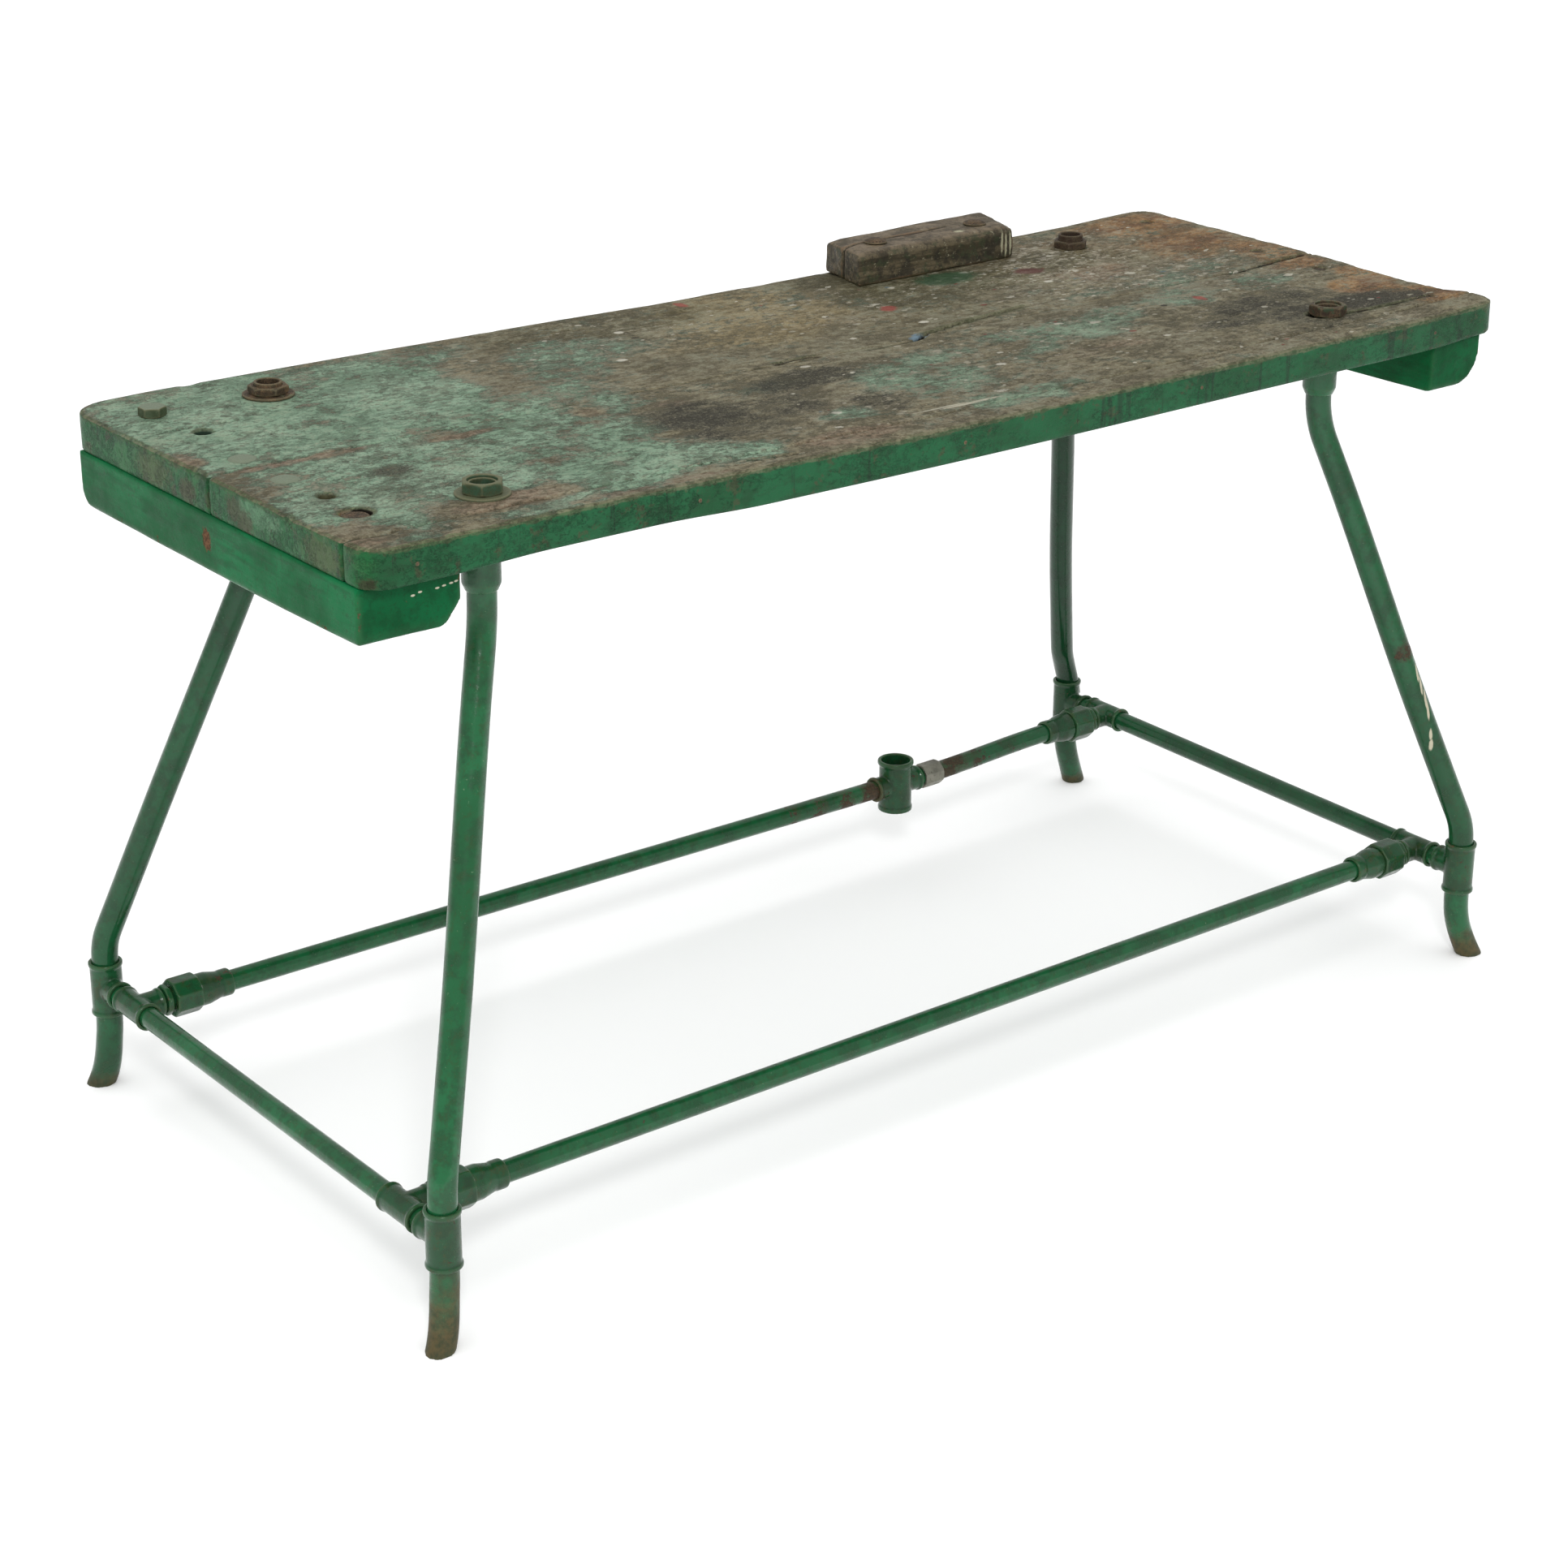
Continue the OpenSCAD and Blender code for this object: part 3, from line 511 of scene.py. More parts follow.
# Cracks along the grain: the points each one runs through, half its width and its depth in millimetres
CRACKS = [([(140, -12), (158, -10), (175, 2), (240, 14), (378, 31)], 4.6, 14),
          ([(-75, 0), (-20, 3), (15, -1)], 3.6, 5),
          ([(60, -15), (120, -16), (165, -13)], 3.2, 5),
          ([(700, -9), (790, -4), (872, 3)], 4.0, 9),
          ([(655, -247), (690, -253), (760, -256), (838, -253)], 4.2, 8),
          ([(-355, -303), (-310, -308), (-262, -318)], 2.4, 5),
          ([(-830, 171), (-770, 168), (-690, 160)], 2.0, 3),
          ([(-870, -284), (-790, -286), (-740, -289)], 1.8, 4)]


# How the top has warped, in millimetres: places along an edge and how far it has risen at each; the
# front edge sags in one curve
BACK_EDGE = [(-867, -740, -580, -420, -260, -100, -20, 220, 450, 700, 780, 876),
             (2, 4, 3.4, 2.6, 1.0, -0.5, -2.2, -1.9, -0.6, 1.2, 2.5, 5.3)]
RIGHT_END = [(-335, -280, -240, -160, -80, -40, 160, 335), (4, 5.4, 0, -0.6, 1.6, 4.2, 4.4, 5.3)]


FRONT_SAG = 3.2
HALF_LENGTH = 880


def warp(x, y):
    """How far the planks stand above a flat top, in metres, at millimetres from the legs' centre."""
    front = -FRONT_SAG * np.cos(np.clip(x / HALF_LENGTH, -1, 1) * np.pi / 2) ** 4
    back = np.interp(x, *BACK_EDGE)
    middle = front + (back - front) * smoothstep(-335, 335, y)
    end = smoothstep(710, 870, x)
    return (middle * (1 - end) + np.interp(y, *RIGHT_END) * end) * MM


def row_xy(co):
    """X from the legs' centre and Y, both in millimetres."""
    return (co[:, 0] - LEGS_X) / MM, co[:, 1] / MM


def sink(piece):
    """Lets a piece that stands on the planks, or hangs under them, follow their warp."""
    co = points_of(piece)
    co[:, 2] += warp(*row_xy(co))
    move_points(piece, co)


def worn_plank(node, material):
    """A plank as it is after a working life: sagged, cupped, cracked, its edges rounded and chipped."""
    piece = softened(node + "_worn", node, 3 * MM, 2)
    co = points_of(piece)
    normal = normals_of(piece)
    x, y = row_xy(co)
    upper = smoothstep(UNDER_Z + 0.25 * (TOP_Z - UNDER_Z), TOP_Z, co[:, 2])
    facing = smoothstep(0.3, 0.9, normal[:, 2])
    for hx, hy, radius, sunk in BOLT_HEADS:
        # Paint and dirt have filled the ring round each bolt head
        d = np.hypot(co[:, 0] - hx, co[:, 1] - hy) / MM
        ring = (d < radius + 5) & (co[:, 2] > TOP_Z - 9.5 * MM)
        level = TOP_Z - MM * np.where(d < radius - 2, sunk, 0.5 * np.exp(-((d - radius) / 2) ** 2))
        co[ring, 2] = level[ring]
    # The front plank is thinner near the left leg, and all three are thinner at the right end
    thin = 4.0 * blob(x, 0, (-550, 0), (190, 1)) * (y < FRONT_SEAM_Y / MM) + 2.5 * smoothstep(760, 860, x)
    swell = 1.6 * (value_noise(co, (0.5, 0.12, 1), 3, 2) - 0.5)
    grain = 0.9 * (value_noise(co, (0.11, 0.006, 1), 7, 3) - 0.5)
    dents = -2.0 * smoothstep(0.66, 0.9, value_noise(co, (0.05, 0.035, 1), 11, 2))
    lift = warp(x, y) / MM + (1 - upper) * thin + upper * swell + facing * upper * (grain + dents)
    for points, width, depth in CRACKS:
        lift -= depth * crack_depth(x, y, points, width) * facing * upper
    near_edge = np.minimum.reduce([y - FRONT_Y / MM, BACK_Y / MM - y,
                                   (co[:, 0] - LEFT_X) / MM, (RIGHT_X - co[:, 0]) / MM])
    arris = smoothstep(8, 0, near_edge) * upper
    chips = smoothstep(0.56, 0.8, value_noise(co, (0.045, 0.03, 0.02), 19, 3))
    working_side = 1 - 0.8 * smoothstep(0, 300, y)
    lift -= arris * working_side * (0.6 + 3.0 * chips)
    co[:, 2] += lift * MM
    side = 1 - smoothstep(0.25, 0.8, normal[:, 2])
    push = (0.5 - value_noise(co, (0.16, 0.16, 0.03), 23, 3)) * 1.1 - 0.6 * chips * arris - 0.2
    co[:, :2] += normal[:, :2] * (side * push * MM)[:, None]
    co[:, 0] = np.clip(co[:, 0], LEFT_X, RIGHT_X)
    move_points(piece, co)
    # Paint has closed the seams between the planks and above the cleats, so their edges are not rubbed
    from_seam = np.minimum(np.abs(co[:, 1] - BACK_SEAM_Y), np.abs(co[:, 1] - FRONT_SEAM_Y)) / MM
    open_edge = smoothstep(3, 9, from_seam) * smoothstep(UNDER_Z + 3 * MM, UNDER_Z + 12 * MM, co[:, 2])
    store_edges(piece, 2, rubbed=open_edge)
    upright = np.where(near_edge < 12, 1 - smoothstep(0.35, 0.8, normals_of(piece)[:, 2]), 0)
    store(piece, "side", upright + (normal[:, 2] < -0.5))
    store(piece, "end", smoothstep(-0.4, -0.8, normal[:, 0]))
    store(piece, "rim", arris)
    for stain, places in (("soot", SOOT), ("olive", OLIVE), ("ochre", OCHRE), ("mint", MINT),
                          ("bare", BARE), ("orange", ORANGE), ("pink", PINK), ("splash", SPLASH)):
        store(piece, stain, patches(x, y, places))
    # Dark gaps: cracks and the seams' ends. Painted shade: a faint ring round each left coach bolt, as the
    # outline and shade of its rim, and the right half of the pit round the sunk bolt
    crack = np.zeros(len(x))
    for points, width, depth in CRACKS:
        crack = np.maximum(crack, crack_depth(x, y, points, width * 1.1) * min(1, depth / 8))
    ends = (near_edge < 6) * (np.abs(normal[:, 0]) > 0.5)
    crack = np.maximum(crack * np.maximum(upper, crack > 0.9), ends * smoothstep(2.6, 1.2, from_seam))
    # Painted shade round the rim of each left coach bolt
    for hx, hy, radius, _ in BOLT_HEADS[:LEFT_COACH_BOLTS]:
        d = np.hypot(co[:, 0] - hx, co[:, 1] - hy) / MM
        crack = np.maximum(crack, 0.13 * upper * np.exp(-((d - radius - 1) / 2.2) ** 2))
    below = (TOP_Z - co[:, 2]) / MM + warp(x, y) / MM
    # Painted shade in the right half of the pit round the sunk bolt
    d = np.hypot(x - BOLT_ROW_X, y - SUNK_Y)
    crack = np.maximum(crack, smoothstep(8, 12, d) * smoothstep(20, 16, d) * smoothstep(0, 9, x - BOLT_ROW_X)
                       * smoothstep(0, 3, below))
    store(piece, "crack", crack)
    # Where the walls of the open holes lie, for the painted shade on them
    hole = np.zeros(len(x))
    for hole_x, hole_y in SPARE_HOLES:
        inside = np.hypot(x - hole_x, y - hole_y) < 15
        hole = np.maximum(hole, inside * smoothstep(0.5, 3, below))
    store(piece, "hole", hole)
    keep(piece, "bench", node, material)


def worn_top():
    """Flaking mint paint over grimy wood, soot and oil stains, splashes of other paints, green edges."""
    p = Paint("top_paint")
    grain = p.noise(9, 8, 0.65, stretch=(0.35, 6, 1), warp=0.4)
    fibres = p.noise(60, 6, 0.7, stretch=(0.12, 6, 1), shift=(3, 3, 3))
    blotch = p.noise(9, 5, 0.6, shift=(1, 4, 2))
    patchy = p.noise(24, 8, 0.78, shift=(6, 2, 1), stretch=(0.75, 1, 1))
    speckle = p.noise(110, 6, 0.8, shift=(2, 8, 5), stretch=(0.7, 1, 1))
    grit = p.noise(330, 4, 0.8, shift=(5, 8, 1))
    broken = p.add(p.swing(patchy, 2.4), p.swing(speckle, 1.8))

    def stain(name, low, high, most, amount=1.0):
        """How strongly a stain shows: its patch with an edge broken up at every scale."""
        return p.step(p.add(p.attribute(name), p.times(broken, amount)), low, high, 0, most)

    wood = p.mix(p.step(blotch, 0.38, 0.62), "706953", "877e64")
    wood = p.mix(p.step(grain, 0.45, 0.62, 0, 0.45), wood, "69604c")
    wood = p.mix(p.step(patchy, 0.5, 0.62, 0, 0.6), wood, "968b74")
    mottle = p.step(patchy, 0.4, 0.6)
    wood = p.mix(stain("ochre", 0.2, 1.0, 0.8), wood, p.mix(mottle, "8a7b58", "a1906a"))
    bare = p.mix(p.step(grain, 0.4, 0.6), "7c6754", "8d7a66")
    wood = p.mix(stain("bare", 0.3, 0.8, 0.8, 0.6), wood, bare)
    wood = p.mix(stain("pink", 0.3, 0.9, 0.6), wood, "8a7262")
    orange = p.mix(mottle, "745238", "a27c50")
    wood = p.mix(stain("orange", 0.12, 0.6, 0.95, 0.7), wood, orange)
    wood = p.mix(stain("olive", 0.2, 0.9, 0.85), wood, p.mix(mottle, "4a462e", "696145"))

    cover = p.add(p.times(p.minus(p.attribute("mint"), p.attribute("bare", 1.1)), 0.7), 0.18)
    cover = p.add(cover, p.add(broken, p.swing(blotch, 0.7)))
    cover = p.minus(cover, p.add(p.attribute("soot", 0.25), p.attribute("worn", 0.3)))
    colour = p.mix(p.step(cover, 0.22, 0.5, 0, 0.75), wood, "76786a")
    colour = p.mix(p.step(cover, 0.42, 0.6, 0, 0.8), colour, "71846c")
    mint = p.times(p.step(cover, 0.56, 0.72), p.step(p.axis(0), -0.3, 0.1, 1, 0.62))
    paint = p.mix(p.step(blotch, 0.36, 0.62), "78977c", "90ae93")
    paint = p.mix(p.step(patchy, 0.47, 0.38, 0, 0.6), paint, "6d8069")
    colour = p.mix(mint, colour, paint)
    flecks = p.add(p.noise(95, 8, 0.82, shift=(9, 3, 7), stretch=(0.6, 1, 1)),
                   p.swing(p.noise(11, 4, 0.6, shift=(7, 7, 1)), 0.5))
    flecks = p.add(flecks, p.attribute("soot", 0.05))
    fleck_colour = p.mix(p.step(cover, 0.35, 0.6), "4d4936", "51614a")
    flecked = p.times(p.step(flecks, 0.53, 0.59), p.step(p.axis(1), -0.1, 0.05, 0.7, 0.45))
    colour = p.mix(flecked, colour, fleck_colour)
    colour = p.mix(p.step(flecks, 0.47, 0.41, 0, 0.3), colour, "a6a890")

    soot_mask = p.add(p.attribute("soot"), p.add(p.times(broken, 1.1), p.swing(grit, 1.6)))
    colour = p.mix(p.step(soot_mask, 0.3, 0.75, 0, 0.55), colour, "5a584a")
    colour = p.mix(p.step(soot_mask, 0.7, 1.05, 0, 0.85), colour, "37352c")
    dirt = p.step(p.add(speckle, p.swing(blotch, 0.6)), 0.53, 0.62, 0, 0.55)
    colour = p.mix(dirt, colour, "4f4c3a")
    colour = p.mix(p.step(grit, 0.5, 0.66, 0, 0.5), colour, "413e2f")
    colour = p.mix(p.step(grit, 0.46, 0.34, 0, 0.35), colour, "aba992")
    # Painted shade in the hollows
    colour = p.mix(p.attribute("hollow", 0.7), colour, "2c281f")

    # Splatter of pale paints, thick where "splash" says, and single drops: one to a cell of a pattern
    spatter = p.add(p.noise(70, 7, 0.85, shift=(3, 9, 2), stretch=(0.7, 1.3, 1)),
                    p.attribute("splash", 0.09))
    pale = p.mix(p.step(blotch, 0.45, 0.55), "a79d88", "b5ae9c")
    colour = p.mix(p.step(spatter, 0.6, 0.66, 0, 0.75), colour, pale)
    drops = 0
    for scale, share, shift in [(30, 0.42, (0, 0, 0)), (62, 0.6, (4, 1, 0)), (110, 0.6, (2, 6, 0)),
                                (17, 0.1, (7, 5, 0))]:
        distance, chance, hue, size = p.cells(scale, (0.8, 1.2, 0), shift)
        present = p.math("LESS_THAN", chance, p.attribute("splash", share))
        ragged = p.add(distance, p.swing(speckle, 0.6))
        radius = p.step(size, 0, 1, 0.06, min(0.27, scale / 160))
        dot = p.times(present, p.math("LESS_THAN", ragged, radius))
        shade = p.mix(p.math("GREATER_THAN", hue, 0.6), "a39e8b", "c0bcab")
        shade = p.mix(p.math("GREATER_THAN", hue, 0.95), shade, "7c3a33")
        shade = p.mix(p.math("LESS_THAN", hue, 0.07), shade, "5c7076")
        shade = p.mix(p.math("LESS_THAN", hue, 0.04), shade, "34302a")
        colour = p.mix(p.times(dot, 0.8), colour, shade)
        drops = p.add(drops, dot)
    # Larger splashes and spots, one by one
    top = TOP_Z / MM
    for places, radius, code in (
            ([(-206, 122, top), (-131, 235, top), (159, -163, top), (-137, -210, top), (484, 110, top),
              (423, 213, top), (214, 48, top), (-42, -30, top)], (7, 5, 30), "cfcbbb"),
            ([(8, -271, top), (-25, -266, top), (30, -270, top)], (38, 2.6, 30), "bdb9a4"),
            ([(219, 125, top), (224, 132, top)], (11, 9, 30), "95443c"),
            ([(19, 308, top), (579, -80, top)], (7, 12, 30), "9a4a42"),
            ([(504, 165, top), (497, 170, top)], (17, 13, 30), "5e3330"),
            ([(159, -5, top), (168, 2, top)], (12, 7, 30), "7690a0"),
            ([(385, 205, top)], (48, 28, 30), "2f5236")):
        colour = p.mix(p.times(p.ovals(places, radius, 0.3, 0.5), 0.8), colour, code)
    # Dark cracks and seam ends, with the painted shade round the left coach bolts and in the sunk bolt's pit
    colour = p.mix(p.step(p.attribute("crack"), 0.1, 0.55), colour, "1b140e")

    # Painted shade on the walls of the two open holes: dark green in the back one, olive brown in the front
    # one
    hole_shade = p.mix(p.step(p.axis(1), -0.02, 0.02), "55543a", "263a2c")
    colour = p.mix(p.attribute("hole"), colour, hole_shade)

    green = p.mix(p.step(p.noise(6, 4, 0.6, shift=(3, 3, 8)), 0.4, 0.6), "1c603a", "18532f")
    end_green = p.mix(p.step(patchy, 0.44, 0.56), "175f31", "2d683a")
    green = p.mix(p.attribute("end"), green, end_green)
    green = p.mix(p.step(p.noise(45, 6, 0.7, shift=(8, 3, 2), stretch=(0.5, 1, 1)), 0.47, 0.6, 0, 0.6),
                  green, "1d4629")
    green = p.mix(p.step(p.noise(30, 7, 0.75, shift=(1, 9, 4)), 0.56, 0.62, 0, 0.7), green, "464a32")
    streaks = p.noise(40, 4, 0.7, shift=(4, 4, 4), stretch=(1, 1, 0.06))
    green = p.mix(p.step(streaks, 0.58, 0.64, 0, 0.55), green, "1c2c20")
    side = p.step(p.add(p.attribute("side"), p.times(broken, 0.35)), 0.38, 0.6)
    colour = p.mix(side, colour, green)
    left = (LEFT_X - LEGS_X) / MM
    for places, radius, code in (
            ([(left, -112, 889)], (14, 48, 12), "5d8b66"),
            ([(left, 42, 878), (left, -62, 884), (left, -84, 874)], (16, 18, 14), "434026"),
            ([(left, -245, 880), (left, 120, 884)], (16, 38, 18), "4a5a33"),
            ([(left + 4, -322, 867)], (14, 12, 7), "39331f")):
        colour = p.mix(p.times(p.ovals(places, radius, 0.35, 0.9), 0.75), colour, code)
    rim = p.add(p.attribute("rim", 0.25), p.times(broken, 0.9))
    rim_wear = p.step(p.add(p.attribute("worn", 1.2), rim), 0.5, 0.78, 0, 0.65)
    rim_wear = p.times(rim_wear, p.step(p.attribute("end"), 0, 1, 1, 0.5))
    rim_colour = p.mix(p.step(p.axis(0), -0.75, -0.45), "5b6f4a", "73745a")
    colour = p.mix(rim_wear, colour, p.mix(p.step(speckle, 0.45, 0.55), rim_colour, "4c5138"))

    rough = p.blend_values(side, p.blend_values(mint, 0.72, 0.58), 0.4)
    height = p.add(p.times(fibres, 0.5), p.add(p.times(mint, 0.6), p.times(drops, 0.8)))
    height = p.minus(height, p.times(p.step(flecks, 0.515, 0.585), 0.5))
    normal = p.bump(p.noise(22, 4, 0.6, stretch=(0.5, 1, 1)), 0.003, 0.5)
    normal = p.bump(height, 0.0008, 0.9, normal)
    normal = p.bump(p.add(speckle, p.times(grit, 0.4)), 0.001, 0.8, normal)
    return p.done(colour, rough, normal, specular=0.16)


def cleat_green():
    """Green gloss over a batten: brush marks along it, knocks through to brown, dirt at the top."""
    p = Paint("cleat_paint")
    long_marks = p.noise(22, 5, 0.6, stretch=(3, 0.4, 3))
    patchy = p.noise(34, 7, 0.7, shift=(4, 2, 7))
    colour = p.mix(p.step(p.noise(6, 3, 0.6), 0.4, 0.6), "0c7040", "075b30")
    colour = p.mix(p.step(long_marks, 0.45, 0.6, 0, 0.55), colour, "0e4c29")
    colour = p.mix(p.step(p.noise(160, 6, 0.8, shift=(1, 7, 3)), 0.53, 0.62, 0, 0.5), colour, "1c4423")
    # Painted shade: the faces that point to the front are darker
    colour = p.mix(p.attribute("front", 0.4), colour, "0d3a21")
    chip = p.step(p.add(patchy, p.attribute("worn", 0.2)), 0.67, 0.70)
    left = CLEAT_LEFT_X
    chip = p.math("MAXIMUM", chip, p.oval((left, 5, 832), (30, 9, 13), 0.2, 0.7))
    colour = p.mix(chip, colour, p.mix(p.step(p.noise(300), 0.4, 0.6), "4f3a2b", "76573f"))
    colour = p.mix(p.attribute("worn", 0.35), colour, "47694a")
    # Painted shade in the hollows
    colour = p.mix(p.attribute("hollow", 0.8), colour, "15281c")
    # Dabs of cream paint on the left cleat's front end: millimetres from its left side, and height
    dabs = p.ovals([(left + x, -312, z) for x, z in
                    ((67, 841), (76, 843), (97, 843), (105, 844), (114, 845), (120, 846))],
                   (2.4, 20, 1.1), 0.3, 0.6)
    colour = p.mix(dabs, colour, "cfcab4")
    normal = p.bump(p.add(long_marks, p.times(patchy, 0.5)), 0.0014, 0.6)
    normal = p.bump(p.minus(p.times(p.noise(400), 0.2), chip), 0.0004, 0.7, normal)
    rough = p.blend_values(chip, p.step(patchy, 0.4, 0.6, 0.26, 0.42), 0.8)
    return p.done(colour, rough, normal, specular=0.06)


def oily_wood():
    """The backstop: dark, oil-soaked and hammered wood with paler rubbed edges and old paint runs."""
    p = Paint("backstop_wood")
    grain = p.noise(30, 7, 0.7, stretch=(0.25, 3, 3))
    patchy = p.noise(28, 6, 0.7, shift=(3, 8, 2))
    colour = p.mix(p.step(grain, 0.42, 0.58), "413a28", "665b44")
    colour = p.mix(p.step(patchy, 0.48, 0.58, 0, 0.75), colour, "2a271d")
    colour = p.mix(p.step(p.noise(60, 6, 0.7, shift=(1, 1, 6)), 0.52, 0.6, 0, 0.6), colour, "38432a")
    colour = p.mix(p.attribute("up", 0.8), colour, p.mix(p.step(patchy, 0.42, 0.58), "7f6f58", "5a5040"))
    colour = p.mix(p.step(p.noise(150, 6, 0.8, shift=(6, 1, 2)), 0.53, 0.6, 0, 0.6), colour, "2a261c")
    colour = p.mix(p.step(p.noise(190, 5, 0.8, shift=(2, 1, 8)), 0.6, 0.66, 0, 0.8), colour, "a09a80")
    rubbed = p.add(p.attribute("worn"), p.swing(patchy, 2))
    colour = p.mix(p.step(rubbed, 0.3, 0.75, 0, 0.6), colour, "82684f")
    # Painted shade: near black in the hollows
    colour = p.mix(p.attribute("hollow", 0.85), colour, "14120e")
    colour = p.mix(p.attribute("foot"), colour, "5d5c34")
    # Runs of cream paint at the right of its front, and a spot on its top
    low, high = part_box("backstop_block")
    right = (high.x - BLOCK_SKEW - LEGS_X) / MM
    front = low.y / MM
    height = (low.z + high.z) / 2 / MM
    runs = p.ovals([(right - 21, front, height + 2), (right - 14, front, height - 3),
                    (right - 6, front, height - 1), (right - 1, front + 10, height)], (1.9, 5, 17), 0.3, 0.9)
    runs = p.math("MAXIMUM", runs, p.ovals([(right - 84, front + 18, height + 23)], (8, 5, 8), 0.3, 0.6))
    colour = p.mix(p.times(runs, 0.8), colour, "b5b294")
    normal = p.bump(p.add(grain, p.times(patchy, 0.6)), 0.002, 0.7)
    normal = p.bump(p.noise(350, 5, 0.7), 0.0005, 0.5, normal)
    return p.done(colour, p.step(patchy, 0.3, 0.7, 0.5, 0.75), normal, specular=0.3)


# --- bench top ---

CLEAT_LEFT_X = (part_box("left_cleat")[0].x - LEGS_X) / MM
BOLT_ROW_X = (centre("left_sunk_bolt").x - LEGS_X) / MM
SUNK_Y = centre("left_sunk_bolt").y / MM

# The open bolt holes near the left end, in millimetres from the legs' centre
SPARE_HOLES = [(BOLT_ROW_X + 15, 147), (BOLT_ROW_X + 6, -139)]


def bolt_heads(node, places, sunk):
    """Heads let into the planks: X, Y, radius in millimetres, and how far down the plank is cut.

    places are the heads' distances along their row.
    """
    low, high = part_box(node)
    radius = (high.x - low.x) / 2
    span = high.y - low.y - 2 * radius
    return [((low.x + high.x) / 2, low.y + radius + span * place / places[-1], radius / MM, sunk)
            for place in places]


BOLT_HEADS = bolt_heads("left_coach_bolts", [0, 1], 2.4)
LEFT_COACH_BOLTS = len(BOLT_HEADS)
BOLT_HEADS += bolt_heads("right_coach_bolts", [0, 193, 311, 530], 3.4)

# The block's ends are sawn askew: its back stands this far to the right of its front
BLOCK_SKEW = 20 * MM


def worn_cleat(node, material):
    """A batten under the end of the top, a little wavy and with its underside sagging."""
    piece = softened(node + "_worn", node, 2.5 * MM, 3)
    co, normal = points_of(piece), normals_of(piece)
    co += normal * ((value_noise(co, (0.03, 0.12, 0.03), 31, 3) - 0.62) * 1.8 * MM)[:, None]
    low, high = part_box(node)
    belly = np.sin(np.clip((co[:, 1] - low.y) / (high.y - low.y), 0, 1) ** 0.8 * np.pi)
    co[:, 2] += warp(*row_xy(co)) * smoothstep(low.z, high.z, co[:, 2])
    co[:, 2] -= 2.5 * MM * belly * smoothstep(high.z - 10 * MM, low.z, co[:, 2])
    move_points(piece, co)
    store_edges(piece, rubbed=smoothstep(high.z - 4 * MM, high.z - 12 * MM, co[:, 2]))
    # How much each point faces the front, for the painted shade on those faces
    store(piece, "front", smoothstep(0.5, 0.9, -normals_of(piece)[:, 1]))
    keep(piece, "bench", node, material)


def worn_backstop():
    """The block on the back edge: rounded, hammered, split along its top and down its left end."""
    piece = softened("backstop_block_worn", "backstop_block", 2 * MM, 22)
    co, normal = points_of(piece), normals_of(piece)
    low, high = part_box("backstop_block")
    # v goes from 0 at its front to 1 at its back, and u from 0 to 1 along it
    deep = (high.y - low.y) / MM
    v = (co[:, 1] - low.y) / (high.y - low.y)
    u = (co[:, 0] - low.x - BLOCK_SKEW * v) / (high.x - low.x - BLOCK_SKEW)
    upper = smoothstep(low.z + 0.6 * (high.z - low.z), high.z, co[:, 2])
    facing = smoothstep(0.4, 0.9, normal[:, 2])
    split = 0.46 + 0.03 * np.sin(u * 9) + 0.12 * u
    back_left_step = 0.8 * smoothstep(0.5, 0.42, u) * smoothstep(0.5, 0.75, v)
    top_split = 4.0 * facing * np.exp(-((v - split) * deep / 2.2) ** 2) * smoothstep(0.75, 0.55, u)
    worn_ends = 2.5 * smoothstep(0.1, 0, u) + 4.0 * smoothstep(0.93, 1, u) * smoothstep(0.9, 0.1, v)
    co[:, 2] -= MM * upper * (back_left_step + top_split + worn_ends)
    end_split = smoothstep(0.06, 0, u) * np.exp(-((v - 0.47) * deep / 2.5) ** 2)
    co[:, 0] += 5 * MM * end_split
    co += normal * ((value_noise(co, (0.06, 0.02, 0.02), 41, 3) - 0.7) * 3.0 * MM)[:, None]
    move_points(piece, co)
    sink(piece)
    store_edges(piece, spread=3)
    store(piece, "up", smoothstep(0.5, 0.95, normals_of(piece)[:, 2]))
    store(piece, "foot", smoothstep(2.6 * MM, 1.2 * MM, co[:, 2] - low.z) * 0.8)
    keep(piece, "bench", "backstop_block", oily_wood())


top_material = worn_top()
for node in ("back_plank", "middle_plank", "front_plank"):
    worn_plank(node, top_material)
cleat_material = cleat_green()
for node in ("left_cleat", "right_cleat"):
    worn_cleat(node, cleat_material)
worn_backstop()

# --- hardware ---

# How far each leg leans off its true line: mm along the bench at its top, and lower down
LEAN = {"front_left": (-5, 1), "back_left": (3, 0), "front_right": (8, -2), "back_right": (-11, -21)}

# The hardware at each leg: how far it sits off the leg's true line, how much paint is left on it, and
# how dark with oil and rust it is
NUT_SHIFT = {"front_left": (0, 0), "back_left": (8, -1), "front_right": (8, -6), "back_right": (-4, 0)}
LEFT_GREEN = {"front_left": 1.2, "back_left": 0.25, "front_right": 0.4, "back_right": 0.2}
DARKNESS = {"front_left": 0.0, "back_left": 0.0, "front_right": 0.3, "back_right": 0.6}


def hardware(node, voxel, material, green=None):
    """A rusted copy of a node's bolts, nuts or washers; green is how much paint is left on them.

    Without green the node has a piece at each leg, and each follows the corner's own values.
    """
    piece = softened(node + "_rusted", node, voxel * MM, 3)
    co = points_of(piece)
    left = np.full(len(co), green or 0.0)
    dark = np.full(len(co), 0.8 if node == "right_coach_bolts" else 0.0)
    if green is None:
        for corner in CORNERS:
            leg = centre("leg_socket_" + corner)
            near = np.hypot(co[:, 0] - leg.x, co[:, 1] - leg.y) < 60 * MM
            co[near, :2] += MM * np.array(NUT_SHIFT[corner])
            left[near] = LEFT_GREEN[corner]
            dark[near] = DARKNESS[corner]
        move_points(piece, co)
    sink(piece)
    store_edges(piece)
    store(piece, "green", left)
    store(piece, "dark", dark)
    store(piece, "up", smoothstep(0.6, 0.95, normals_of(piece)[:, 2]))
    keep(piece, "bench", node, material)


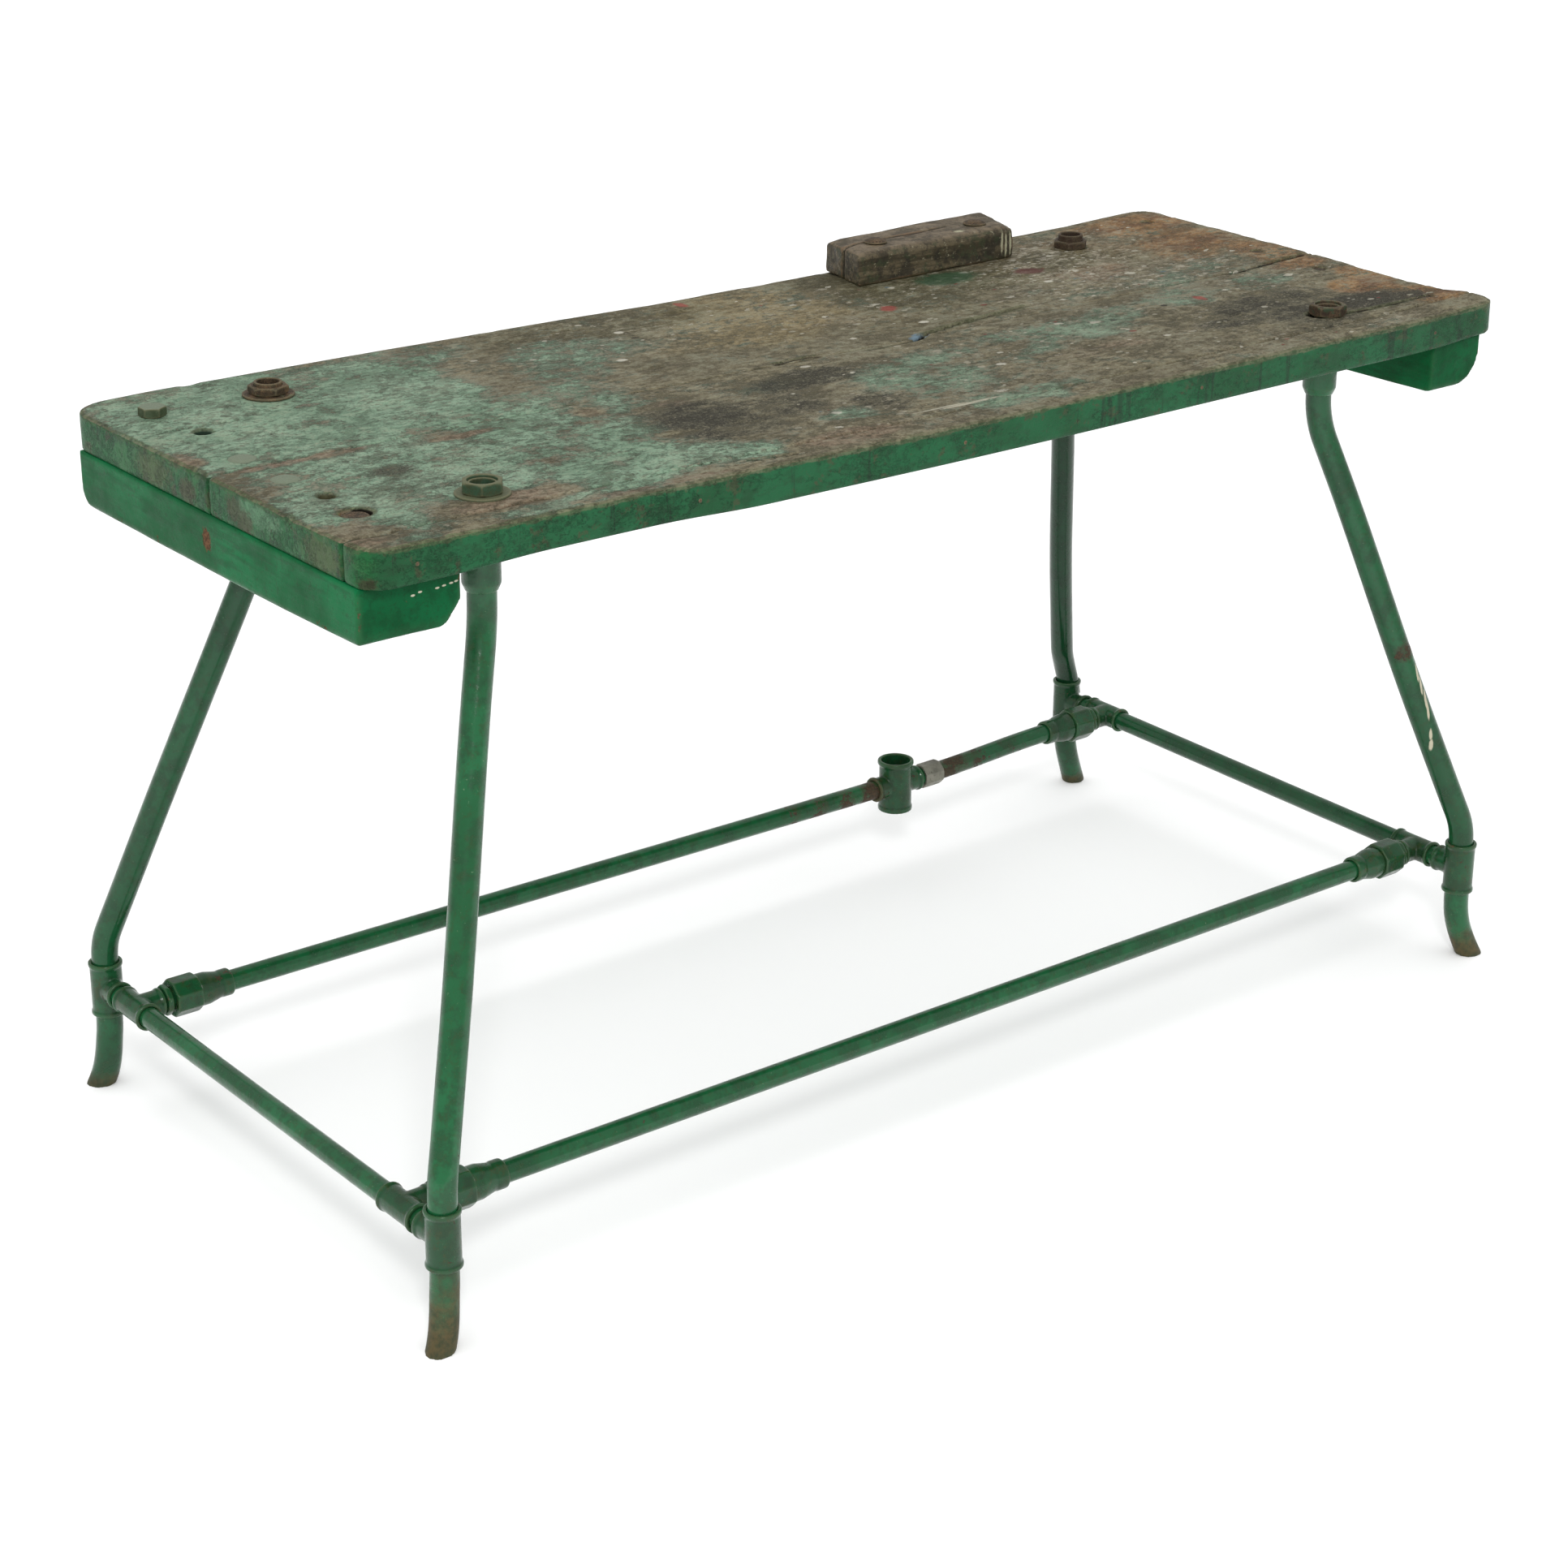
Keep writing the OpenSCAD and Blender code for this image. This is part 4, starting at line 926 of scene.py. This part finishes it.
steel = rusty("rusty_steel", "31583f", "76785a")
for node in ("leg_washers", "leg_backnuts", "leg_top_nipples"):
    hardware(node, 0.9, steel)
for node, voxel, green in (("backstop_bolts", 0.8, 0.0), ("left_sunk_bolt", 0.8, 0.15),
                           ("right_coach_bolts", 0.8, 0.1), ("cleat_nuts", 0.8, 0.7),
                           ("cleat_washers", 0.8, 0.7), ("backstop_nuts", 0.8, 0.5),
                           ("backstop_washers", 0.8, 0.5), ("front_plank_nails", 0.6, 0.2)):
    hardware(node, voxel, steel, green)

painted_steel = rusty("painted_bolts", "4f5f44", "8d9a84", "5f5c40", "3c4630")
for node in ("left_hex_bolt", "left_coach_bolts"):
    hardware(node, 0.8, painted_steel, 0.9)

# --- pipes and fittings ---

pipe_material = gloss_green("pipe_paint", "1d6a3f", "165932", "174b2b",
                            chips=0.665, gloss=0.13, grime=0.35)
fitting_material = gloss_green("fitting_paint", "1c5834", "174829", "1b3a20",
                               chips=0.62, gloss=0.2, grime=0.7)

# Rust on the back rail, and then on the legs: X from the legs' centre, Y, Z and radius in millimetres,
# and strength
RUST = [(508, 313, 135, 34, 1.0), (545, 313, 135, 22, 0.7), (350, 313, 132, 24, 1.0),
        (306, 313, 132, 22, 0.8), (255, 313, 134, 20, 0.7), (210, 313, 134, 18, 0.7),
        (612, 313, 135, 40, 0.45), (560, 313, 140, 18, 0.5), (-700, 313, 150, 16, 0.5),
        (742, -338, 450, 16, 0.8), (-663, -242, 690, 18, 0.6), (-806, -372, 240, 18, 0.3)]

# How far each foot has been bent further at the floor: millimetres along and across the bench
FOOT_BEND = {"foot_front_left": (5, 0), "foot_back_left": (6, 0), "foot_front_right": (5, 0),
             "foot_back_right": (0, 0)}

# How far up from the floor each worn foot has lost its paint, in millimetres
WORN_UP_TO = {"foot_front_left": 150, "foot_back_left": 30, "foot_front_right": 75, "foot_back_right": 30}

# The low frame stands high at its back right corner, where the tee and foot sit to the left; the back
# rail has sagged under its cross. All in millimetres
CORNER_RISE = 6
CORNER_SHIFT = 10
RAIL_SAG = 4

# Painted shade: how far each piece is darkened for the shade that the top casts on it
PAINTED_SHADE = {"leg_back_right": 0.75, "leg_tee_back_right": 0.3, "right_cross_rail": 0.4, "back_rail_right": 0.3,
         "leg_back_left": 0.4, "foot_back_left": 0.3, "leg_front_right": 0.3, "foot_back_right": 0.3,
         "union_body_back_right": 0.3, "back_rail_left": 0.15, "front_rail": 0.15}


def tube(node, voxel, rounds, material, body="bench", spread=2, gain=1.0, lean=None):
    """A painted copy of a pipe or fitting, with its painted shade, rust and worn foot saved on its points.

    lean names the corner whose leg it leans with; spread and gain are for store_edges.
    """
    piece = softened(node + "_painted", node, voxel * MM, rounds)
    co = points_of(piece)
    x, y = row_xy(co)
    z = co[:, 2] / MM
    if lean:
        top, low = LEAN[lean]
        co[:, 0] += MM * (low * smoothstep(125, 240, z) + (top - low) * smoothstep(350, 700, z))
    if node.startswith("foot"):
        co[:, :2] += MM * np.array(FOOT_BEND[node]) * smoothstep(70, 0, z)[:, None]
        if node == "foot_back_right":
            co[:, 0] -= CORNER_SHIFT * MM * smoothstep(0, 90, z)
    elif z.max() < 200:
        raised = smoothstep(-330, 400, y) * smoothstep(440, 720, x)
        co[:, 2] += CORNER_RISE * MM * raised
        co[:, 0] -= CORNER_SHIFT * MM * smoothstep(340, 375, y) * raised
    if node in ("back_rail_left", "back_rail_right", "socket_cross", "cross_nipple", "hex_coupling"):
        co[:, 2] -= RAIL_SAG * MM * smoothstep(-690, 380, x) * smoothstep(690, 480, x)
    move_points(piece, co)
    rust = np.zeros(len(co))
    for rx, ry, rz, radius, strength in RUST:
        d = np.sqrt((x - rx) ** 2 + (y - ry) ** 2 + (z - rz) ** 2)
        rust = np.maximum(rust, strength * smoothstep(radius * 1.6, radius * 0.5, d))
    store_edges(piece, spread, gain)
    store(piece, "rust", rust)
    store(piece, "foot", smoothstep(WORN_UP_TO[node], 0, z) if node in WORN_UP_TO else np.zeros(len(co)))
    # How much painted shade each piece gets
    store(piece, "shade", np.full(len(co), PAINTED_SHADE.get(node, 0)))
    keep(piece, body, node, material)


for c in CORNERS:
    tube(f"leg_{c}", 1.8, 3, pipe_material, spread=1, gain=0.3, lean=c)
    tube(f"leg_socket_{c}", 1.2, 4, pipe_material, lean=c)
    tube(f"foot_{c}", 1.8, 3, pipe_material, spread=1, gain=0.3)
for node in ("left_cross_rail", "right_cross_rail", "front_rail", "back_rail_left", "back_rail_right"):
    tube(node, 1.8, 3, pipe_material, spread=1, gain=0.3)
for node in ("close_nipples", "cross_nipple"):
    tube(node, 1.2, 4, pipe_material)
for stem in ("leg_tee", "rail_tee", "union_tail", "union_body"):
    for c in CORNERS:
        tube(f"{stem}_{c}", 1.1, 12, fitting_material)
for c in CORNERS:
    tube(f"union_nut_{c}", 1.0, 14, fitting_material, body=f"nut_{c}")
tube("socket_cross", 1.1, 5, fitting_material)
tube("hex_coupling", 1.0, 3, galvanised())

# --- studio ---

# Half the floor's side, in metres
FLOOR = 30
floor_mesh = bpy.data.meshes.new("floor")
floor_mesh.from_pydata([(-FLOOR, -FLOOR, 0), (FLOOR, -FLOOR, 0), (FLOOR, FLOOR, 0), (-FLOOR, FLOOR, 0)],
                       [], [(0, 1, 2, 3)])
floor = link("floor", floor_mesh)
floor.data.materials.append(Paint("floor").done((0.96, 0.96, 0.96, 1), 0.9, specular=0.1))

world = bpy.data.worlds.new("studio")
scene.world = world
world.use_nodes = True
sky = world.node_tree.nodes["Background"]
sky.inputs["Color"].default_value = (1, 1, 1, 1)
sky.inputs["Strength"].default_value = 0.66


def hang(light, place, target):
    """A lamp at a place, aimed at a target, both in metres."""
    lamp = bpy.data.objects.new(light.name, light)
    lamp.location = place
    lamp.rotation_euler = (Vector(target) - Vector(place)).to_track_quat("-Z", "Y").to_euler()
    scene.collection.objects.link(lamp)
    return lamp


# A luminous ceiling: one wide, even light over the bench and all of the floor around it
ceiling = bpy.data.lights.new("ceiling", "SUN")
ceiling.energy = 2.0
ceiling.angle = math.radians(165)
hang(ceiling, (-1.2, -1.6, 4), (0, 0, 0)).visible_glossy = False

# A smaller lamp from the front left, for highlights and soft shadows
key = bpy.data.lights.new("key", "AREA")
key.shape = "RECTANGLE"
key.size, key.size_y = 0.7, 0.9
key.energy = 85
hang(key, (-2.6, -3.6, 3.6), (0, 0, 0.5))

# The photo's view, solved from the outline of the bench
YAW, PITCH, ROLL = (math.radians(a) for a in (38.091, 22.371, 0.279))
EYE = (LEGS_X - 2.4617, -3.0799, 1.9562)
LENS = 75.54
camera = bpy.data.objects.new("camera", bpy.data.cameras.new("camera"))
scene.collection.objects.link(camera)
camera.data.sensor_width = 36
camera.data.lens = LENS
camera.data.clip_end = 100
camera.location = EYE
camera.rotation_euler = (Matrix.Rotation(-YAW, 3, "Z") @ Matrix.Rotation(math.pi / 2 - PITCH, 3, "X")
                         @ Matrix.Rotation(ROLL, 3, "Z")).to_euler()
scene.camera = camera
scene.view_settings.view_transform = "Standard"
